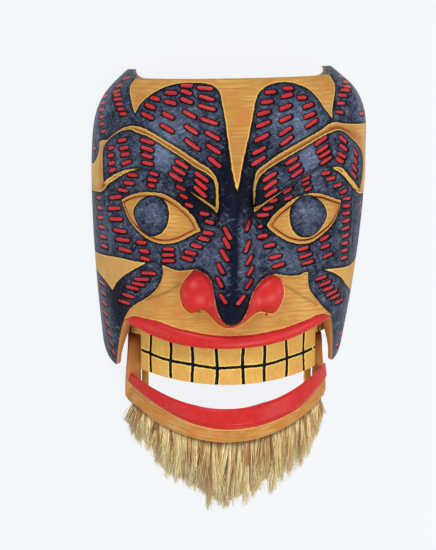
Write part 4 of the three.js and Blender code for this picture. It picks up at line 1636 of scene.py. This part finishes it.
@dataclass
class LowerJaw:
    """The hinged lower jaw: a curved chin with a red lip, on two arms that reach back to the hinge.

    Sizes are in millimetres. A curved edge is given by its height in the middle, its slope and its bend.
    """

    strip: Strip = Strip(82.0, 95.0, 8.0, 76.0)
    slab: Slab = Slab(116, 24)
    lip_top: Place = (-112.8, 0.022, 0.0042)
    lip_drop: float = 4.0
    chin: Place = (-139.8, 0.011, 0.0041)
    chin_round: Point = (1.2, 3.0)
    lip_foot_y: float = -129.6
    lip_foot_curve: Point = (0.0053, 0.0040)
    end_wood: float = 6.0
    end_from: Point = (54.0, 80.0)
    lip_proud: float = 4.0
    lip_ends: Point = (0.9, 1.0)
    lip_steps: tuple[Place, ...] = ((0.55, 0.0, 0.08), (0.45, 0.08, 0.3))
    lip_fall: float = 0.6
    lip_tuck: Place = (0.2, 0.86, 1.0)
    top_wall: float = 1.6
    back_bevel: float = 7.0
    bevel_from: Point = (28.0, 60.0)
    right_bevel: float = 3.0
    right_from: Point = (50.0, 66.0)
    right_stretch: float = 0.035
    lip_wrap: float = 60.0
    crease: Point = (2.8, 0.8)
    crease_shade: tuple[Points, ...] = ((0, 30, 60, 82), (0.35, 0.6, 1.0, 0.8))
    arms: tuple[Point, ...] = ((-73.98, 12.45), (76.3, 8.2))
    arm_head: float = 12.5
    arm_soften: float = 0.8
    arm_taper: float = 2.4
    taper_over: float = 8.0
    taper_up: Point = (-108.0, -76.0)
    end_grain: float = 0.85
    arm_shade_up: Point = (-100.0, -82.0)
    shank: Points = ((-100, 10.5), (-112, 20), (-112, 31.5), (-102, 39.5))

    def edge(self, line: Place, x: Array) -> Array:
        """Height of a curved edge at places across."""
        return line[0] + line[1] * x + line[2] * x * x

    def arm(self) -> list[Point]:
        """Draws an arm in Y and Z: a round head about the hinge and a straight shank to the chin.

        Returns:
            The corners of its outline.
        """
        y, z = HINGE
        turns = [math.radians(a) for a in range(90, -91, -10)]
        head = [(y + self.arm_head * math.cos(t), z + self.arm_head * math.sin(t)) for t in turns]
        return head + list(self.shank)

    def roll(self, share: Array) -> Array:
        """Shapes the lip's section: a quick rise from its foot and a long soft fall to its top."""
        rise = sum(high * smooth(share, *step) for high, *step in self.lip_steps)
        return rise * (1 - self.lip_fall * share) - self.lip_tuck[0] * smooth(share, *self.lip_tuck[1:])

    def build(self) -> Piece:
        """Bends the chin, rolls the lip and adds the arms.

        Returns:
            The jaw.
        """
        boards = (Board(self.arm(), x - LEAN, thick, self.arm_soften) for x, thick in self.arms)
        work = Carved("carved_jaw", self.slab, *boards)
        u, v, front = work.sheet()
        arms = slice(work.count, None)
        turn = u * math.radians(self.strip.end_angle)
        wider = 1 + self.right_stretch * np.clip(u, 0, 1)
        x = self.strip.half_width * np.sin(turn) * wider
        top = self.edge(self.lip_top, x) - self.lip_drop * smooth(u, *self.lip_ends)
        low = self.edge(self.chin, x)
        behind = self.top_wall + self.back_bevel * smooth(np.abs(x), *self.bevel_from)
        behind = behind + self.right_bevel * smooth(x, *self.right_from)
        y = low + (top - np.where(front, 0, behind) - low) * v
        foot = self.lip_foot_y + np.where(x < 0, *self.lip_foot_curve) * x * x
        foot = foot + self.end_wood * smooth(x, *self.end_from)
        roll = self.roll(np.clip((y - foot) / (top - foot), 0, 1)) * (1 - smooth(np.abs(u), *self.lip_ends))
        soft, over = self.chin_round
        lift = np.where(front, self.lip_proud * roll - soft * (1 - smooth(y - low, 0, over)), 0.0)
        placed = self.strip.place(turn, y, lift, np.where(front, 0.0, self.strip.wall))
        placed[:, 0] = (placed[:, 0] + LEAN) * wider - LEAN

        # The arms thin towards their heads, on their outer sides
        arm_x, arm_y = work.points[arms, 0] + LEAN, work.points[arms, 1]
        inner = np.where(arm_x < 0, *(abs(x) - thick / 2 for x, thick in self.arms))
        outward = np.clip((np.abs(arm_x) - inner) / self.taper_over, 0, 1) * smooth(arm_y, *self.taper_up)
        work.points[arms, 0] -= np.sign(arm_x) * self.arm_taper * outward
        work.bend(placed, np.column_stack([turn * self.strip.deep, y - low, lift]))

        # The lip's paint runs over its top, and painted shade lies along a crease line near its foot
        wrapped = front | (v > WHOLE)
        inside = np.minimum(y - foot, (1 - np.abs(u)) * self.lip_wrap)
        work.mark(Stain.RED, np.where(wrapped, inside, OUTSIDE), OUTSIDE)
        work.mark(Stain.FRONT, wrapped, 1.0)
        crease = bell(y - foot - self.crease[0], self.crease[1]) * np.interp(np.abs(x), *self.crease_shade)
        work.mark(Stain.CREASE, np.where(front, crease, 0))
        # Painted shade on the arms' heads, which lie in shadow under the face
        work.mark(Stain.ENDGRAIN, 0.0, self.end_grain * smooth(arm_y, *self.arm_shade_up))
        return work.finish()


@dataclass
class Peg:
    """One wooden hinge peg, cut off level with the arm round it, in millimetres."""

    name: str
    short: float = 3.4
    sides: int = 32
    soften: float = 0.5

    def build(self) -> Piece:
        """Turns the peg on the axis of the frame's own one.

        Returns:
            The peg.
        """
        low, high = (np.array(corner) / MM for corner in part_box(self.name))
        if self.name == PINS[0]:
            low[0] += self.short
        else:
            high[0] -= self.short
        middle, (long, thick, _) = (low + high) / 2, high - low
        bm = bmesh.new()
        bmesh.ops.create_cone(bm, cap_ends=True, segments=self.sides, radius1=thick / 2, radius2=thick / 2,
                              depth=long)
        bmesh.ops.rotate(bm, verts=bm.verts, matrix=Matrix.Rotation(math.pi / 2, 3, "Y"))
        rims = [e for e in bm.edges if abs(e.verts[0].co.x - e.verts[1].co.x) < 0.01]
        bmesh.ops.bevel(bm, geom=rims, offset=self.soften, segments=2, profile=0.5, affect="EDGES",
                        material=-1, clamp_overlap=True)
        bmesh.ops.translate(bm, verts=bm.verts, vec=middle)
        bmesh.ops.scale(bm, verts=bm.verts, vec=(MM, MM, MM))
        mesh = to_mesh(bm, "whittled_" + self.name)
        return show(mesh.name, mesh)


@dataclass
class Beard:
    """The horsehair under the chin: pointed locks of single strands, in millimetres.

    A spread is the usual slip of a random draw, and a pair of numbers is its least and its most.
    """

    seed: int = 7
    doublings: int = 12
    segments: int = 6
    apart: float = 4.0
    layers: int = 3
    locks: int = 120
    half_width: float = 75.5
    aside: float = 1.5
    thick: float = 11.0
    radii: Point = (0.36, 0.10)
    chin: Place = (-139.8, 0.011, 0.0041)
    root_up: float = 2.0
    least_long: float = 18.0
    tips: Points = ((-87, -135), (-82, -139), (-72, -150), (-62, -162), (-52, -171), (-38, -178), (-25, -184),
                    (-15, -193), (-8, -197), (0, -190), (14, -184), (36, -176), (50, -168), (60, -160),
                    (69, -147), (78, -137), (86, -132))
    tip_reach: Point = (-85.0, 87.0)
    tip_up: float = 4.0
    tip_ragged: float = 6.0
    lock_tip_spread: float = 4.5
    lock_lean_spread: float = 3.2
    end_calm: Point = (0.7, 6.0)
    lock_tone_shape: Point = (1.3, 1.0)
    stray_share: float = 0.16
    stray_spread: float = 5.0
    stray_calm: Point = (0.75, 4.0)
    stray_gather: float = 0.1
    gather: Point = (0.55, 0.95)
    tip_spread: float = 0.9
    flare: float = 0.04
    end_flare: float = 2.0
    bow_spread: float = 1.0
    bow_with_lean: float = 0.2
    puff_spread: float = 0.9
    lock_puff: float = 4.0
    tone_spread: float = 0.27
    bend: Point = (0.35, 0.65)
    arch_width: float = 83.0
    arch_reach: float = 82.0
    root_z: float = 87.0
    front_z: float = 3.0
    floor_z: float = 2.0
    gather_z: float = 0.6
    droop: float = 12.0
    puff_end: float = 0.8
    taper: float = 1.5

    def strands(self) -> BMesh:
        """Makes the strands by doubling one thin cone; how far a copy lies along X tells which one it is.

        Returns:
            The strands, each from -0.5 to 0.5 along Z.
        """
        bm = bmesh.new()
        bmesh.ops.create_cone(bm, cap_ends=True, segments=3, radius1=1.0, radius2=0.5, depth=1.0)
        long_edges = [e for e in bm.edges if abs(e.verts[0].co.z - e.verts[1].co.z) > 0.5]
        bmesh.ops.subdivide_edges(bm, edges=long_edges, cuts=self.segments - 1)
        for k in range(self.doublings):
            copied = bmesh.ops.duplicate(bm, geom=bm.verts[:] + bm.edges[:] + bm.faces[:])["geom"]
            verts = of_kind(copied, bmesh.types.BMVert)
            bmesh.ops.translate(bm, verts=verts, vec=(self.apart * 2 ** k, 0, 0))
        return bm

    def build(self) -> list[Piece]:
        """Lays the strands out in locks, one layer over the other."""
        return [self.layer(k) for k in range(self.layers)]

    def layer(self, number: int) -> Piece:
        """Lays out one layer of strands.

        Args:
            number: Which layer, 0 at the back.

        Returns:
            The layer.
        """
        dice = np.random.default_rng(self.seed + number)
        count = 2 ** self.doublings
        mesh = to_mesh(self.strands(), f"beard_layer_{number + 1}")
        unit = points_of(mesh)
        which = np.rint(unit[:, 0] / self.apart).astype(int)
        corner = np.arctan2(unit[:, 1], unit[:, 0] - self.apart * which)
        k = unit[:, 2] + 0.5

        # One value for each lock, then one for each strand
        home = np.sort(dice.uniform(-1, 1, self.locks))
        lock_tip = dice.normal(0, self.lock_tip_spread, self.locks)
        lock_lean = dice.normal(0, self.lock_lean_spread, self.locks)
        lock_lean *= 1 - self.end_calm[0] * np.abs(home) ** self.end_calm[1]
        lock_tone = dice.beta(*self.lock_tone_shape, self.locks)
        lock_depth = dice.uniform(0, 1, self.locks)
        at = dice.uniform(-1, 1, count)
        lock = np.abs(at[:, None] - home[None, :]).argmin(axis=1)
        stray = dice.uniform(0, 1, count) < self.stray_share
        gather = np.where(stray, self.stray_gather, dice.uniform(*self.gather, count))
        root_x = self.half_width * at + self.aside
        tip_x = root_x + (self.half_width * home[lock] - root_x) * gather + lock_lean[lock]
        tip_x = (tip_x + dice.normal(0, self.tip_spread, count) + self.flare * root_x
                 + self.end_flare * at ** 5)
        calm = 1 - self.stray_calm[0] * at ** self.stray_calm[1]
        tip_x += np.where(stray, dice.normal(0, self.stray_spread, count) * calm, 0)
        tip_line = np.array(self.tips, float)
        tip_y = np.interp(np.clip(tip_x, *self.tip_reach), tip_line[:, 0] + LEAN, tip_line[:, 1])
        ragged = self.tip_ragged * np.abs(dice.normal(0, 1, count)) * (1 - 0.5 * stray)
        tip_y += lock_tip[lock] + self.tip_up + ragged
        root_y = self.chin[0] + self.chin[1] * root_x + self.chin[2] * root_x ** 2 + self.root_up
        tip_y = np.minimum(tip_y, root_y - self.least_long)
        behind = (1 - (number + dice.uniform(0, 1, count)) / self.layers) * self.thick
        bow = dice.normal(0, self.bow_spread, count) + lock_lean[lock] * self.bow_with_lean
        puff = dice.normal(0, self.puff_spread, count) + self.lock_puff * (lock_depth[lock] - 0.5)

        # Then the place of every corner of every strand
        x = root_x[which] + (tip_x - root_x)[which] * (self.bend[0] * k + self.bend[1] * k * k)
        x += bow[which] * np.sin(np.pi * k)
        y = root_y[which] + (tip_y - root_y)[which] * k
        arch = np.clip(x, -self.arch_reach, self.arch_reach) / self.arch_width
        z = self.root_z * np.sqrt(1 - arch ** 2) + self.front_z - behind[which] * (1 - self.gather_z * k)
        z += puff[which] * np.sin(np.pi * k * self.puff_end) - self.droop * k * k
        radius = self.radii[0] + (self.radii[1] - self.radii[0]) * k ** self.taper
        turned = corner + dice.uniform(0, 2 * math.pi, count)[which]
        tone = np.clip(lock_tone[lock] + dice.normal(0, self.tone_spread, count), 0, 1)[which]
        set_points(mesh, np.column_stack([
            x - LEAN + radius * np.cos(turned), y, np.maximum(z, self.floor_z) + radius * np.sin(turned)]))
        set_values(mesh, STRAND_TONE, tone)
        set_values(mesh, STRAND_WAY, k)
        mesh.shade_smooth()
        return show(mesh.name, mesh)


@dataclass
class Studio:
    """A pale floor, soft lights and the camera, in metres."""

    aim: Place = (-0.01104, -0.012, 0.045)
    away: float = 2.6
    aside: float = 3.0
    above: float = 6.0
    seen_high: float = 0.44
    sensor: float = 36.0
    far: float = 100.0
    floor_size: float = 4.0
    floor: str = "#3a3c40"
    floor_glow: str = "#f6f8fb"
    floor_rough: float = 0.9
    glow_strength: float = 0.92
    air: str = "#eef2f8"
    air_strength: float = 0.6
    # Each soft square light by its name, its place, its watts and the length of its side
    lights: tuple[tuple[str, Place, float, float], ...] = (
        ("key", (-0.5, 1.5, 2.0), 21.0, 1.0),
        ("front", (0.7, -1.2, 2.2), 30.0, 1.2),
        ("left", (-1.9, -0.3, 1.3), 9.0, 1.0),
        ("right", (1.9, -0.2, 1.3), 13.0, 1.0),
    )

    def lay_floor(self) -> None:
        """Puts a wide floor of pale matt paper under the mask."""
        bm = bmesh.new()
        bmesh.ops.create_grid(bm, x_segments=1, y_segments=1, size=self.floor_size)
        made = show("studio_floor", to_mesh(bm, "studio_floor"))
        g = Graph("matt_paper")
        shader = g.add("BsdfPrincipled", {
            "Base Color": linear(self.floor), "Roughness": self.floor_rough,
            "Emission Color": linear(self.floor_glow), "Emission Strength": self.glow_strength})
        g.add("OutputMaterial", {"Surface": shader})
        made.data.materials.append(g.material)

    def hang_lights(self) -> None:
        """Hangs the lights, each facing the mask."""
        for name, place, power, size in self.lights:
            lamp = bpy.data.lights.new(name, "AREA")
            lamp.shape, lamp.size, lamp.energy = "SQUARE", size, power
            made = show(name, lamp)
            made.location = place
            made.rotation_euler = (Vector(self.aim) - Vector(place)).to_track_quat("-Z", "Y").to_euler()

    def set_air(self) -> None:
        """Gives the room its even pale light."""
        world = bpy.data.worlds.new("studio_air")
        world.use_nodes = True
        back = world.node_tree.nodes["Background"]
        back.inputs["Color"].default_value = linear(self.air)
        back.inputs["Strength"].default_value = self.air_strength
        bpy.context.scene.world = world
        bpy.context.scene.view_settings.view_transform = "Standard"

    def set_camera(self) -> None:
        """Sets the camera over the lying face, a little to its side and towards its crown."""
        side, low = math.radians(self.aside), math.radians(self.above)
        back = Vector((-math.sin(side) * math.cos(low), math.sin(low), math.cos(side) * math.cos(low)))
        right = (-back).cross(Vector((0, 1, 0))).normalized()
        up = right.cross(-back)
        data = bpy.data.cameras.new("camera")
        data.sensor_fit, data.sensor_height, data.clip_end = "VERTICAL", self.sensor, self.far
        data.lens = data.sensor_height * self.away / self.seen_high
        camera = show("camera", data)
        place = Vector(self.aim) + back * self.away + Vector(SHIFT * MM)
        camera.matrix_world = Matrix.Translation(place) @ Matrix((right, up, back)).transposed().to_4x4()
        bpy.context.scene.camera = camera

    def build(self) -> None:
        """Sets up the whole studio."""
        self.lay_floor()
        self.set_air()
        self.hang_lights()
        self.set_camera()


def dress(piece: Piece, material: Material, body: str, replaced: Sequence[str]) -> None:
    """Gives a piece its material and its body, hides the frame's nodes that it stands for, and reports it.

    Args:
        piece: The piece.
        material: Its finish.
        body: The part of the mask that it moves with.
        replaced: The frame's nodes that it stands for.
    """
    piece.data.materials.append(material)
    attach(piece, body)
    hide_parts(*replaced)
    LOG.info("%s: %d triangles", piece.name, sum(len(f.vertices) - 2 for f in piece.data.polygons))


def main() -> None:
    """Builds the pieces and the studio."""
    logging.basicConfig(level=logging.INFO, format="%(message)s")
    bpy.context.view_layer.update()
    face_wood = PaintedWood("painted_cedar")
    # The teeth are a paler wood, with their grain up and down and plain black lines
    teeth_wood = PaintedWood(
        "pale_carved_cedar", wood="#d7ad5c", wood_dark="#c8974a", wood_pale="#f4d473", cut="#c28a4a",
        blotch="#cf8f45", ring="#d2a056", black="#06070c", black_pale="#12151f", grain_run=5.0, red_coat=0.0)
    # The jaw is the browner wood, with painted shade on the arms' heads, under the face
    jaw_wood = PaintedWood("brown_carved_cedar", wood="#c69557", wood_dark="#ac7335", cut="#b4713c")
    dress(FaceShell().build(), face_wood.build(), "mask", ["mask_face"])
    dress(TeethBand().build(), teeth_wood.build(), "mask", ["teeth_band"])
    dress(LowerJaw().build(), jaw_wood.build(), "jaw", ["lower_jaw"])
    pegs = PegWood().build()
    for name in PINS:
        dress(Peg(name).build(), pegs, "mask", [name])
    hair = Horsehair().build()
    for piece in Beard().build():
        dress(piece, hair, "jaw", ["beard"])
    Studio().build()


if __name__ == "__main__":
    main()
